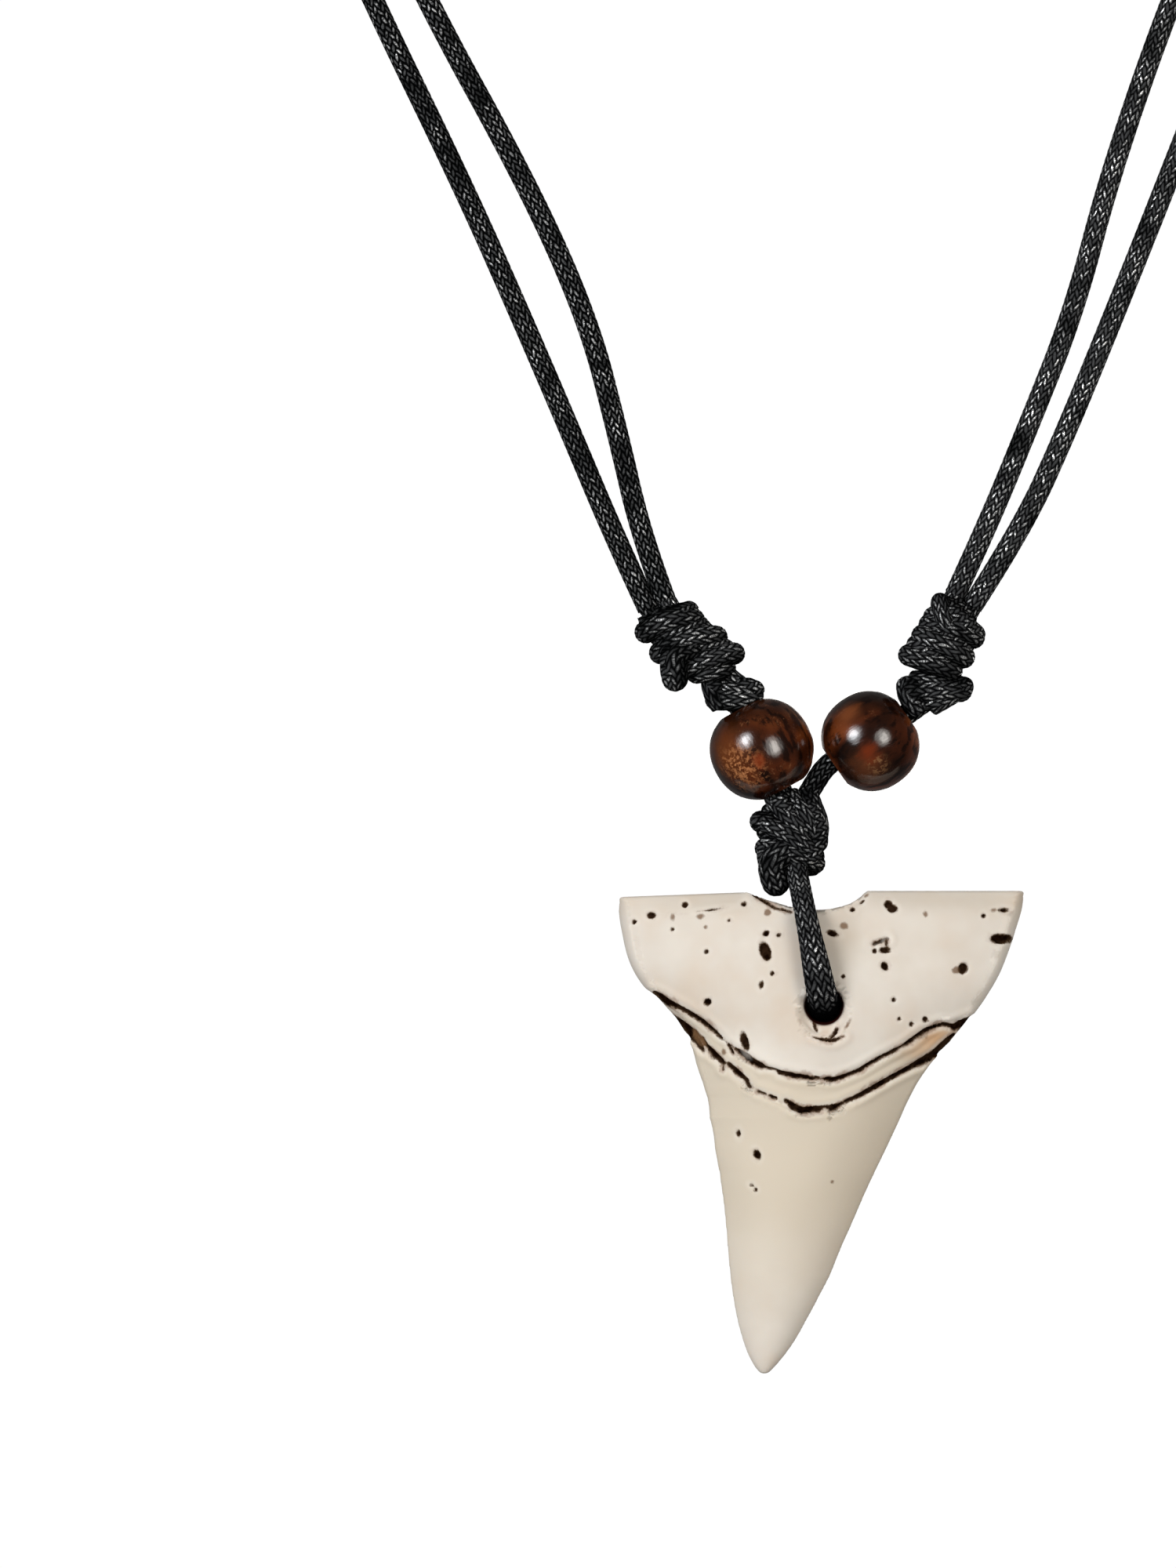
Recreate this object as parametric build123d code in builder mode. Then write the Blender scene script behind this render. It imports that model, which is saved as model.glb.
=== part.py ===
from build123d import *

import os
from math import cos, radians, sin, tan

# Shark tooth necklace, in millimetres. +Z is up and the front faces -Y.
# The origin is the nape: the underside of the neck loop, where it rests on the neck.
# One cord makes the whole necklace. Its middle hangs the tooth, each side then passes a
# wooden bead and a stopper knot, and each end is wound round the other side's cord in a
# slide knot, so that two strands run side by side round the neck.

# Cord
cord_diameter = 2.0
seat_gap = 0.15  # between two pieces that rest on each other
bore_gap = 0.3  # between the cord and a bead's bore

# Neck loop, set to its smallest
neck_drop = 171.5  # from the nape down to the middle of the centre knot
centre_knot_aside = -2.0
strand_spacing = 2.2  # of the two strands where they leave a slide knot
joint_place = 0.41  # where a stopper knot and its slide knot meet, of the way between them

# Beads
bead_diameter = 9.4
bead_length = 8.2

# Pendant loop
loop_reach = 15.0  # from the middle of the centre knot down to the cord in the tooth's hole
loop_lean = 168.2
hole_bend = 2.0  # radius of the cord's turn into the hole

# Tooth
tooth_width = 36.8
tooth_height = 43.9
tooth_thickness = 8.8
root_step = 0.35  # how far the root stands proud of the neck band
groove_width = 0.5
groove_depth = 0.35
notch_width = 10.7
notch_depth = 1.6
notch_middle = 16.9  # from the tooth's left end
hole_diameter = 3.65
hole_from_left = 18.65
hole_from_top = 10.35
hole_rim = 0.4
swing_gap = 0.28  # between the tooth and the cord
bevel_diameter = 4.7  # the wider bevel under the hole, on the front
bevel_drop = 0.75
bevel_depth = 0.6

# Places and sizes of the knots' turns are in cord diameters, from the knot's middle.
# A turn is a round-ended rod from one place to the other: x, y, z, x, y, z, thickness.
CENTRE_KNOT_TURNS = (
    # start x, y, z     end x, y, z          thickness
    (-0.10, 0.00, 1.10, 0.15, 0.00, -0.95, 1.75),
    (-0.61, -0.60, 2.00, 0.05, -0.80, 0.75, 1.10),
    (0.79, -0.45, 1.43, 1.22, -0.55, 0.54, 1.10),
    (1.22, -0.55, 0.54, 1.28, -0.45, -0.15, 1.10),
    (-1.36, -0.55, 0.82, 0.95, -0.75, -0.75, 1.06),
    (-0.93, -0.35, -0.10, 0.60, -0.70, -0.95, 1.06),
    (0.93, -0.30, -0.79, 0.98, 0.20, -1.28, 1.05),
    (-0.86, -0.45, -0.75, -0.66, -0.35, -1.84, 1.52),
    (-0.90, 0.60, 1.20, 1.05, 0.75, 0.45, 1.10),
    (-1.10, 0.70, 0.35, 0.95, 0.75, -0.45, 1.10),
    (-0.85, 0.60, -0.50, 0.75, 0.55, -1.20, 1.10),
)
LEFT_STOPPER_TURNS = (
    (-0.80, 0.10, -0.15, 0.70, 0.10, 0.08, 1.05),
    (-0.88, -0.40, 0.10, -0.66, -0.45, -0.42, 1.22),
    (0.36, -0.42, 0.12, 0.92, -0.35, -0.02, 1.06),
    (-0.55, 0.62, -0.20, 0.60, 0.60, 0.10, 1.10),
)
RIGHT_STOPPER_TURNS = (
    (-0.85, 0.10, -0.05, 0.85, 0.10, 0.25, 1.10),
    (-1.04, -0.40, 0.22, -0.92, -0.45, -0.33, 1.30),
    (-0.05, -0.50, -0.32, 1.22, -0.30, 0.36, 1.15),
    (-0.70, 0.62, -0.10, 0.75, 0.60, 0.25, 1.10),
)

# A slide knot's wraps are rings round its axis: along the axis, across it, tilt in degrees,
# outer width and thickness.
LEFT_WRAPS = (
    # along, across, tilt, width, thickness
    (1.45, -0.05, 22, 3.15, 1.08),
    (0.55, -0.15, 20, 2.95, 1.06),
    (-0.35, 0.05, 14, 2.60, 1.04),
    (-1.20, 0.05, 10, 2.45, 1.04),
)
RIGHT_WRAPS = (
    (1.05, 0.25, 16, 3.20, 1.08),
    (0.05, 0.15, 14, 3.05, 1.10),
    (-0.95, -0.10, 8, 2.85, 1.06),
)
LEFT_TAIL = (-1.02, -1.20, -0.70, -1.00, -1.25, -1.45, 1.20)
RIGHT_TAIL = (-0.10, -0.80, 1.62, 0.15, -0.55, 1.30, 0.80)

# Each side in order from the centre knot. A lean is in degrees from straight up, to the right.
SIDES = {
    "left": {
        "bead_lean": -17.8,  # the way from the centre knot to the bead
        "bead_reach": 2.24,  # to the bead's near end, in cord diameters
        "bead_axis": -28.3,
        "bead_scale": 1.01,
        "exit_lean": -20.0,  # the cord where it leaves the centre knot
        "exit_run": 0.35,
        "straight_run": 0.25,
        "stopper_lean": -22.0,
        "stopper_reach": 0.95,
        "slide_lean": -38.0,
        "slide_reach": 2.88,
        "slide_axis": -48.0,
        "slide_half": 2.25,
        "pair_lean": -22.0,
    },
    "right": {
        "bead_lean": 37.8,
        "bead_reach": 3.82,
        "bead_axis": 49.0,
        "bead_scale": 0.98,
        "exit_lean": 27.4,
        "exit_run": 1.20,
        "straight_run": 0.80,
        "stopper_lean": 57.6,
        "stopper_reach": 1.66,
        "slide_lean": 6.4,
        "slide_reach": 2.62,
        "slide_axis": 25.0,
        "slide_half": 1.85,
        "pair_lean": 28.0,
    },
}

# The two neck strands between their slide knots: x, y, z of each corner of the route.
OUTER_CORNERS = (
    (-17.9, 0.0, -144.0),
    (-21.9, 0.0, -134.7),
    (-26.4, 0.0, -124.2),
    (-31.9, 0.0, -111.8),
    (-40.6, 0.1, -94.0),
    (-50.6, 0.3, -71.5),
    (-57.0, 0.6, -45.0),
    (-47.0, 1.0, -16.6),
    (-18.2, 1.25, 1.0),
    (18.2, 1.25, 1.0),
    (46.5, 1.0, -16.8),
    (55.4, 0.6, -45.0),
    (48.6, 0.3, -71.0),
    (39.4, 0.1, -93.5),
    (31.9, 0.0, -112.0),
    (26.9, 0.0, -123.5),
    (22.8, 0.0, -134.5),
    (18.9, 0.0, -143.2),
)
INNER_CORNERS = (
    (-15.0, 0.0, -144.0),
    (-17.9, 0.0, -134.4),
    (-20.7, 0.0, -124.4),
    (-26.0, 0.0, -112.2),
    (-35.8, -0.1, -94.0),
    (-46.2, -0.3, -71.5),
    (-52.6, -0.6, -45.0),
    (-43.2, -1.0, -16.6),
    (-16.7, -1.25, 1.0),
    (16.7, -1.25, 1.0),
    (42.6, -1.0, -17.0),
    (50.0, -0.6, -45.5),
    (42.8, -0.3, -71.0),
    (33.2, -0.1, -93.5),
    (27.0, 0.0, -110.5),
    (23.6, 0.0, -123.5),
    (19.2, 0.0, -134.5),
    (15.4, 0.0, -143.2),
)

# Sections of the tooth from its flat top to its tip, as shares of its height, width and
# thickness. The crown is smaller than the root by the root step: sides and faces give the share.
TOOTH_SECTIONS = (
    # drop, left edge, right edge, thickness, edge thickness, sides, faces
    (0.000, 0.012, 0.990, 0.52, 0.22, 1.0, 1.0),
    (0.018, 0.000, 1.000, 0.66, 0.32, 1.0, 1.0),
    (0.068, 0.004, 0.984, 0.80, 0.37, 1.0, 1.0),
    (0.134, 0.021, 0.957, 0.91, 0.37, 1.0, 1.0),
    (0.199, 0.064, 0.922, 0.98, 0.34, 1.0, 1.0),
    (0.264, 0.144, 0.864, 1.00, 0.26, 0.7, 1.0),
    (0.329, 0.182, 0.795, 0.99, 0.18, 0.0, 1.0),
    (0.430, 0.214, 0.721, 0.94, 0.14, 0.0, 1.1),
    (0.540, 0.241, 0.652, 0.79, 0.10, 0.0, 0.5),
    (0.650, 0.258, 0.592, 0.66, 0.08, 0.0, 0.0),
    (0.760, 0.274, 0.534, 0.54, 0.07, 0.0, 0.0),
    (0.860, 0.289, 0.480, 0.42, 0.06, 0.0, 0.0),
    (0.940, 0.311, 0.428, 0.28, 0.06, 0.0, 0.0),
    (0.980, 0.331, 0.391, 0.18, 0.06, 0.0, 0.0),
    (0.999, 0.349, 0.369, 0.09, 0.04, 0.0, 0.0),
)
root_reach = 0.45  # share of the tooth's height that holds the whole root
crown_start = 0.05  # share of it above the crown's first section

# Corners of the root's lower edge and of the groove below it, from the left end to the right,
# as shares of the tooth's width and height.
ROOT_EDGE = ((0.02, 0.175), (0.125, 0.232), (0.310, 0.345), (0.500, 0.398),
             (0.660, 0.338), (0.785, 0.268), (0.860, 0.258), (0.98, 0.210))
GROOVE_LINE = ((0.06, 0.200), (0.205, 0.318), (0.310, 0.400), (0.455, 0.452), (0.540, 0.450),
               (0.650, 0.390), (0.760, 0.345), (0.90, 0.250))
edge_bend = 2.5  # radius of both lines' corners
groove_reach = 0.6  # share of the tooth's height that holds the whole groove


def lean(degrees):
    """Give the direction in the front view that leans so far from straight up, to the right."""
    return Vector(sin(radians(degrees)), 0, cos(radians(degrees)))


def corner_radii(points):
    """Give the largest arc that each corner's two runs leave room for."""
    radii = []
    for before, corner, after in zip(points, points[1:], points[2:]):
        half_turn = radians((corner - before).get_angle(after - corner)) / 2
        shorter = min((corner - before).length, (after - corner).length)
        radii.append(0.45 * shorter / tan(half_turn))
    return radii


def cord_tube(points, radii):
    """Sweep the cord along straight runs joined by tangent arcs."""
    with BuildLine() as route:
        FilletPolyline(*points, radius=radii)
    with BuildSketch(Plane(origin=points[0], z_dir=points[1] - points[0])) as section:
        Circle(cord_diameter / 2)
    sweep(section.sketch, path=route.wire())


def rod(start, end, thickness):
    """Add a round-ended rod from one place to another."""
    axis = end - start
    radius = thickness / 2
    depth = axis.cross(Vector(0.3, 1, 0.2))
    with BuildSketch(Plane(origin=start, x_dir=axis, z_dir=depth)) as profile:
        with BuildLine():
            Line((-radius, 0), (axis.length + radius, 0))
            CenterArc((axis.length, 0), radius, 0, 90)
            Line((axis.length, radius), (0, radius))
            CenterArc((0, 0), radius, 90, 90)
        make_face()
    revolve(profile.sketch, axis=Axis(start, axis))


def turn(middle, row):
    """Add one turn of a knot, given in cord diameters from the knot's middle."""
    start = middle + Vector(*row[0:3]) * cord_diameter
    end = middle + Vector(*row[3:6]) * cord_diameter
    rod(start, end, row[6] * cord_diameter)


def stub(point, inward, length):
    """Add the flat end of a cord that leaves a knot, from its face into the knot."""
    middle = point + inward.normalized() * length / 2
    with Locations(Plane(origin=middle, z_dir=inward)):
        Cylinder(cord_diameter / 2, length)


def trim(face, outward, gap):
    """Cut a knot flat, a gap short of the face where its neighbour rests."""
    with Locations(Plane(origin=face + outward * (bead_length / 2 - gap), z_dir=outward)):
        Cylinder(bead_diameter / 2, bead_length, mode=Mode.SUBTRACT)


def clear(start, end):
    """Cut the way of a cord that leaves a knot, a little wider than the cord."""
    way = end - start
    with Locations(Plane(origin=start + way / 2, z_dir=way)):
        Cylinder(cord_diameter / 2 + seat_gap, way.length, mode=Mode.SUBTRACT)


def wrap(middle, axis_lean, row):
    """Add one wrap of a slide knot, a ring round the knot's axis."""
    along, across, tilt, width, thickness = row
    place = middle + lean(axis_lean) * along * cord_diameter
    place += lean(axis_lean + 90) * across * cord_diameter
    with Locations(Plane(origin=place, x_dir=(0, 1, 0), z_dir=lean(axis_lean + tilt))):
        Torus((width - thickness) / 2 * cord_diameter, thickness / 2 * cord_diameter)


class Side:
    """The places of one side's bead and knots, from the centre knot up to the neck strands."""

    def __init__(self, name, centre):
        side = SIDES[name]
        d = cord_diameter
        self.axis = lean(side["bead_axis"])
        self.bead_lean = side["bead_axis"]
        self.diameter = bead_diameter * side["bead_scale"]
        self.length = bead_length * side["bead_scale"]
        from_knot = side["bead_reach"] * d + self.length / 2
        self.bead = centre + lean(side["bead_lean"]) * from_knot
        self.near = self.bead - self.axis * self.length / 2
        self.far = self.bead + self.axis * self.length / 2
        bend = self.near - self.axis * side["straight_run"] * d
        leave = bend - lean(side["exit_lean"]) * side["exit_run"] * d
        self.route = [leave, bend, self.far + self.axis * seat_gap]
        to_stopper = self.length / 2 + side["stopper_reach"] * d
        self.stopper = self.bead + lean(side["stopper_lean"]) * to_stopper
        self.joint_way = lean(side["slide_lean"])
        to_slide = side["slide_reach"] * d
        self.joint = self.stopper + self.joint_way * joint_place * to_slide
        self.slide = self.stopper + self.joint_way * to_slide
        self.slide_axis = side["slide_axis"]
        self.slide_half = side["slide_half"] * d
        pair = self.slide + lean(self.slide_axis) * self.slide_half
        apart = lean(side["pair_lean"] + 90) * strand_spacing / 2
        self.pair = (pair - apart, pair + apart)


# Places that follow from the sizes
centre = Vector(centre_knot_aside, 0, -neck_drop)
left = Side("left", centre)
right = Side("right", centre)
hang = lean(loop_lean)
swing_axis = centre + hang * loop_reach
hole_lift = (hole_diameter - cord_diameter) / 2 - swing_gap
hole = swing_axis - Vector(0, 0, hole_lift)
tooth_left = hole.X - hole_from_left
tooth_top = hole.Z + hole_from_top
notch_x = tooth_left + notch_middle

# Neck strands
routes = {
    "neck_cord_outer": [left.pair[0], *[Vector(*c) for c in OUTER_CORNERS], right.pair[1]],
    "neck_cord_inner": [left.pair[1], *[Vector(*c) for c in INNER_CORNERS], right.pair[0]],
}

with BuildPart() as neck_cord_outer:
    cord_tube(routes["neck_cord_outer"], corner_radii(routes["neck_cord_outer"]))

with BuildPart() as neck_cord_inner:
    cord_tube(routes["neck_cord_inner"], corner_radii(routes["neck_cord_inner"]))

# Pendant loop: down the front of the tooth, through its hole and up its back
strand_depth = tooth_thickness / 2 + swing_gap + cord_diameter / 2
brow_depth = strand_depth - 0.045 * tooth_thickness
brow_reach = loop_reach - hole_from_top + 0.045 * tooth_height


def loop_point(depth, reach):
    """Give the place on the pendant loop at this depth, so far below the centre knot."""
    return centre + hang * reach + Vector(0, depth, 0)


loop_top = 1.7 * cord_diameter
loop_foot = 0.9 * cord_diameter
loop_route = [
    loop_point(-loop_foot, loop_top),
    loop_point(-brow_depth, brow_reach),
    loop_point(-strand_depth, loop_reach),
    loop_point(strand_depth, loop_reach),
    loop_point(brow_depth, brow_reach),
    loop_point(loop_foot, loop_top),
]
loop_radii = corner_radii(loop_route)
loop_radii[1] = hole_bend
loop_radii[2] = hole_bend

with BuildPart() as pendant_loop:
    cord_tube(loop_route, loop_radii)

# Knots
with BuildPart() as centre_knot:
    for row in CENTRE_KNOT_TURNS:
        turn(centre, row)
    for side in (left, right):
        trim(side.near, side.axis, seat_gap)
        clear(side.route[0], side.route[1])
        clear(side.route[1], side.bead)
        stub(side.route[0], side.route[0] - side.route[1], 1.2 * cord_diameter)
    for end, away in ((loop_route[0], loop_route[1]), (loop_route[-1], loop_route[-2])):
        clear(end, away)
        stub(end, end - away, 0.9 * cord_diameter)


def stopper_knot(side, turns):
    """Add a stopper knot between a bead's far end and the slide knot."""
    for row in turns:
        turn(side.stopper, row)
    trim(side.far, -side.axis, seat_gap)
    trim(side.joint, side.joint_way, seat_gap / 2)
    stub(side.route[-1], side.axis, 0.7 * cord_diameter)
    stub(side.joint, -side.joint_way, 0.7 * cord_diameter)


def slide_knot(side, wraps, tail, strands):
    """Add a slide knot's wraps, its cut end and the ends of the two neck strands."""
    core = lean(side.slide_axis) * side.slide_half
    rod(side.slide - core * 0.4, side.slide + core * 0.72, 1.7 * cord_diameter)
    for row in wraps:
        wrap(side.slide, side.slide_axis, row)
    turn(side.slide, tail)
    trim(side.joint, -side.joint_way, seat_gap / 2)
    stub(side.joint, side.joint_way, 0.9 * cord_diameter)
    for end, away in strands:
        clear(end, away)
        stub(end, end - away, 0.9 * cord_diameter)


with BuildPart() as left_stopper_knot:
    stopper_knot(left, LEFT_STOPPER_TURNS)

with BuildPart() as right_stopper_knot:
    stopper_knot(right, RIGHT_STOPPER_TURNS)

with BuildPart() as left_slide_knot:
    slide_knot(left, LEFT_WRAPS, LEFT_TAIL, [route[:2] for route in routes.values()])

with BuildPart() as right_slide_knot:
    slide_knot(right, RIGHT_WRAPS, RIGHT_TAIL, [route[:-3:-1] for route in routes.values()])


# Beads
def bead(side):
    """Add a bead, an oval flattened at both ends and drilled for the cord."""
    half = side.length / 2
    radius = side.diameter / 2
    bore = cord_diameter / 2 + bore_gap
    flat = bore + 0.12 * side.diameter
    cross = Plane(origin=side.bead, x_dir=(0, 1, 0), z_dir=lean(side.bead_lean + 90))
    with BuildSketch(cross) as profile:
        with BuildLine():
            Polyline((flat, -half), (bore, -half), (bore, half), (flat, half))
            Spline((flat, half), (radius, 0), (flat, -half),
                   tangents=((0.75, -0.35), (-0.75, -0.35)))
        make_face()
    revolve(profile.sketch, axis=Axis(side.bead, side.axis))


with BuildPart() as left_bead:
    bead(left)

with BuildPart() as right_bead:
    bead(right)

with BuildPart() as left_bead_cord:
    cord_tube(left.route, corner_radii(left.route))

with BuildPart() as right_bead_cord:
    cord_tube(right.route, corner_radii(right.route))


# Tooth
def tooth_form(start, reach, step, skin):
    """Loft the tooth through its sections from a start down to a reach, both shares of its height,
    less a step by their shares and a skin all round."""
    sections = []
    for drop, left_share, right_share, thickness, edge, sides, faces in TOOTH_SECTIONS:
        if not start <= drop <= reach:
            continue
        low_x = tooth_left + left_share * tooth_width + sides * step + skin
        high_x = tooth_left + right_share * tooth_width - sides * step - skin
        half = thickness * tooth_thickness / 2 - faces * step - skin
        lip = edge * tooth_thickness / 2 - sides * step / 2
        middle = (low_x + high_x) / 2
        with BuildSketch(Plane.XY.offset(tooth_top - drop * tooth_height)) as section:
            with BuildLine():
                ThreePointArc((low_x + lip / 2, -lip), (middle, -half), (high_x - lip / 2, -lip))
                ThreePointArc((high_x - lip / 2, -lip), (high_x, 0), (high_x - lip / 2, lip))
                ThreePointArc((high_x - lip / 2, lip), (middle, half), (low_x + lip / 2, lip))
                ThreePointArc((low_x + lip / 2, lip), (low_x, 0), (low_x + lip / 2, -lip))
            make_face()
        sections.append(section.sketch)
    loft(sections)


def above_line(line, drop, mode):
    """Use all that lies above one of the tooth's lines in the front view, moved down by a drop."""
    corners = [(tooth_left + x * tooth_width, tooth_top - z * tooth_height - drop) for x, z in line]
    ceiling = tooth_top + tooth_height / 4
    with BuildSketch(Plane.XZ) as region:
        with BuildLine():
            FilletPolyline(*corners, radius=edge_bend)
            Polyline(corners[-1], (corners[-1][0] + tooth_width, ceiling),
                     (corners[0][0] - tooth_width, ceiling), corners[0])
        make_face()
    extrude(region.sketch, amount=tooth_thickness, both=True, mode=mode)


with BuildPart() as crown:
    tooth_form(crown_start, 1, root_step, 0)

with BuildPart() as inside_crown:
    tooth_form(crown_start, groove_reach, root_step, groove_depth)

with BuildPart() as groove:
    above_line(GROOVE_LINE, groove_width, Mode.ADD)
    above_line(GROOVE_LINE, 0, Mode.SUBTRACT)
    add(inside_crown, mode=Mode.SUBTRACT)

with BuildPart() as root:
    tooth_form(0, root_reach, 0, 0)
    above_line(ROOT_EDGE, 0, Mode.INTERSECT)

with BuildPart() as tooth:
    add(crown)
    add(groove, mode=Mode.SUBTRACT)
    add(root)
    with BuildSketch(Plane.XZ):
        with BuildLine():
            left_lip = (notch_x - notch_width / 2, tooth_top)
            right_lip = (notch_x + notch_width / 2, tooth_top)
            floor = (notch_x + 0.1 * notch_width, tooth_top - notch_depth)
            ThreePointArc(left_lip, (notch_x - 0.22 * notch_width, tooth_top - 0.7 * notch_depth),
                          floor)
            ThreePointArc(floor, (notch_x + 0.34 * notch_width, tooth_top - 0.7 * notch_depth),
                          right_lip)
            Polyline(right_lip, (right_lip[0], tooth_top + notch_depth),
                     (left_lip[0], tooth_top + notch_depth), left_lip)
        make_face()
    extrude(amount=tooth_thickness, both=True, mode=Mode.SUBTRACT)
    with Locations(Plane(origin=hole, z_dir=(0, -1, 0))):
        Hole(hole_diameter / 2)
    face_depth = tooth_thickness / 2
    with Locations(
        Plane(origin=hole - Vector(0, face_depth, 0), z_dir=(0, -1, 0)),
        Plane(origin=hole + Vector(0, face_depth, 0), z_dir=(0, 1, 0)),
    ):
        Cone(hole_diameter / 2, hole_diameter / 2 + 2 * hole_rim, 2 * hole_rim,
             mode=Mode.SUBTRACT)
    with Locations(Plane(origin=hole - Vector(0, face_depth, bevel_drop), z_dir=(0, -1, 0))):
        Cone(bevel_diameter / 2 - bevel_depth, bevel_diameter / 2 + bevel_depth,
             2 * bevel_depth, mode=Mode.SUBTRACT)

pieces = {
    "tooth": tooth,
    "pendant_loop": pendant_loop,
    "centre_knot": centre_knot,
    "left_bead": left_bead,
    "right_bead": right_bead,
    "left_bead_cord": left_bead_cord,
    "right_bead_cord": right_bead_cord,
    "left_stopper_knot": left_stopper_knot,
    "right_stopper_knot": right_stopper_knot,
    "left_slide_knot": left_slide_knot,
    "right_slide_knot": right_slide_knot,
    "neck_cord_outer": neck_cord_outer,
    "neck_cord_inner": neck_cord_inner,
}

os.makedirs("parts", exist_ok=True)
for name, piece in pieces.items():
    piece.part.label = name
    export_step(piece.part, f"parts/{name}.step")

section_area = 3.14159 * cord_diameter**2 / 4
for name, route in routes.items():
    radii = ", ".join(f"{radius:.1f}" for radius in corner_radii(route))
    print(f"{name}: {pieces[name].part.volume / section_area:.1f} mm long, radii {radii}")
print(f"swing axis {swing_axis}, hole {hole}, tooth top {tooth_top:.2f}")
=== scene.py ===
"""Shark tooth necklace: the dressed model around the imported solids.

The necklace hangs from the nape, +Z is up and the front faces -Y. Sizes are in millimetres and are
turned into metres where a mesh is made. One braided, waxed cord makes the whole necklace: it holds
the tooth, passes two lacquered wooden beads and is tied in stopper knots and slide knots.
"""

import logging
from dataclasses import dataclass
from enum import Enum
from math import cos, pi, radians, sin
from typing import ClassVar, Sequence

import bpy
import numpy as np
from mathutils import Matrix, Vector

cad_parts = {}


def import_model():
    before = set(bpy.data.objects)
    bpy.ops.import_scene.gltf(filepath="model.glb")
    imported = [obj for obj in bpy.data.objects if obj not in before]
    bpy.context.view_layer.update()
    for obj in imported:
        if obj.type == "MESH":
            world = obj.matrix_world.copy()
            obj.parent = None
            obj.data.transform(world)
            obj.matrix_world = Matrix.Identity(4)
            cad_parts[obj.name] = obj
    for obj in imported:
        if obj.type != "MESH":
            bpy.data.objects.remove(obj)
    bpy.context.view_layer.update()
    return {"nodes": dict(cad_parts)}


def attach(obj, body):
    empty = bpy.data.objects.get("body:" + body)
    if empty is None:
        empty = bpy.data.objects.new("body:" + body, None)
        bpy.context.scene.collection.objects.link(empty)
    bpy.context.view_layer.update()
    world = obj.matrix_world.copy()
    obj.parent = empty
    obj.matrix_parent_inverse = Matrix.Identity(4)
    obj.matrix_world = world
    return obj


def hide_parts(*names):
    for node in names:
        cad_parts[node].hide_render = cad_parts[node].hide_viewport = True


LOG = logging.getLogger("shark_tooth_necklace")

MM = 0.001
CORD = 2.0  # the cord's diameter
MERGE_GAP = 0.000002  # corners nearer to each other than this are one, in metres
ROUTE_STEPS = 48  # from one control point of a cord's route to the next
RING_STEPS = 96  # once round a knot
NECKLACE_BODY = "necklace"
TOOTH_BODY = "tooth"
BACKWARD = Vector((0.0, 1.0, 0.0))

Point = tuple[float, float, float]
Socket = bpy.types.NodeSocket


def lean(degrees: float) -> Vector:
    """Give the direction in the front view that leans so far from straight up, to the right."""
    return Vector((sin(radians(degrees)), 0.0, cos(radians(degrees))))


def deselect_all() -> None:
    """Leave no object selected, so that an operator acts on the next piece alone."""
    for thing in bpy.context.selected_objects:
        thing.select_set(False)


def select(*things: bpy.types.Object) -> None:
    """Select these objects alone.

    Args:
        things: The objects, the one that becomes the active one first.
    """
    deselect_all()
    for thing in things:
        thing.select_set(True)
    bpy.context.view_layer.objects.active = things[0]


def add_object(name: str, data: bpy.types.ID) -> bpy.types.Object:
    """Put a new object into the scene.

    Args:
        name: Its name.
        data: Its mesh, curve, light or camera.

    Returns:
        The object.
    """
    thing = bpy.data.objects.new(name, data)
    bpy.context.scene.collection.objects.link(thing)
    return thing


def refine(thing: bpy.types.Object, voxel: float, rounds: int) -> None:
    """Rebuild an object's mesh of small, even faces and smooth it.

    Args:
        thing: The object.
        voxel: The faces' size, in millimetres.
        rounds: How often it is smoothed.
    """
    select(thing)
    bpy.ops.object.mode_set(mode="EDIT")
    bpy.ops.mesh.select_all(action="SELECT")
    bpy.ops.mesh.remove_doubles(threshold=MERGE_GAP)
    bpy.ops.object.mode_set(mode="OBJECT")
    thing.data.remesh_voxel_size = voxel * MM
    bpy.ops.object.voxel_remesh()
    bpy.ops.object.mode_set(mode="EDIT")
    bpy.ops.mesh.select_all(action="SELECT")
    bpy.ops.mesh.vertices_smooth(factor=0.5, repeat=rounds)
    bpy.ops.object.mode_set(mode="OBJECT")


def note_values(mesh: bpy.types.Mesh, **values: np.ndarray) -> None:
    """Write values for each of a mesh's points, for a material to read.

    Args:
        mesh: The mesh.
        values: Rows of values, one for each point, under their names.
    """
    for name, row in values.items():
        layer = mesh.attributes.new(name, "FLOAT", "POINT")
        layer.data.foreach_set("value", row.astype(np.float32))


def read_vectors(items: bpy.types.bpy_prop_collection, name: str) -> np.ndarray:
    """Read a vector of each item of a mesh.

    Args:
        items: The mesh's vertices or other items.
        name: What is read of them, such as their places.

    Returns:
        The vectors, one in a row.
    """
    values = np.empty(len(items) * 3, np.float32)
    items.foreach_get(name, values)
    return values.reshape(-1, 3).astype(float)


# Nodes and finishes


class NodeBoard:
    """A node tree that is filled node by node."""

    def __init__(self, owner: bpy.types.Material | bpy.types.World) -> None:
        """Start a material's or world's nodes.

        Args:
            owner: What the nodes belong to.
        """
        owner.use_nodes = True
        self.tree = owner.node_tree

    def fill(self, node: bpy.types.Node, inputs: dict) -> None:
        """Set a node's inputs.

        Args:
            node: The node.
            inputs: Values or sockets, by the input's name or number.
        """
        for name, value in inputs.items():
            if isinstance(value, Socket):
                self.tree.links.new(value, node.inputs[name])
            else:
                node.inputs[name].default_value = value

    def add(self, kind: str, inputs: dict, **settings: object) -> bpy.types.Node:
        """Add a node.

        Args:
            kind: The node's type, without the words that all types begin with.
            inputs: Values or sockets for its inputs, by name or number.
            settings: Properties of the node itself.

        Returns:
            The node.
        """
        node = self.tree.nodes.new(f"ShaderNode{kind}")
        for name, value in settings.items():
            setattr(node, name, value)
        self.fill(node, inputs)
        return node


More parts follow.
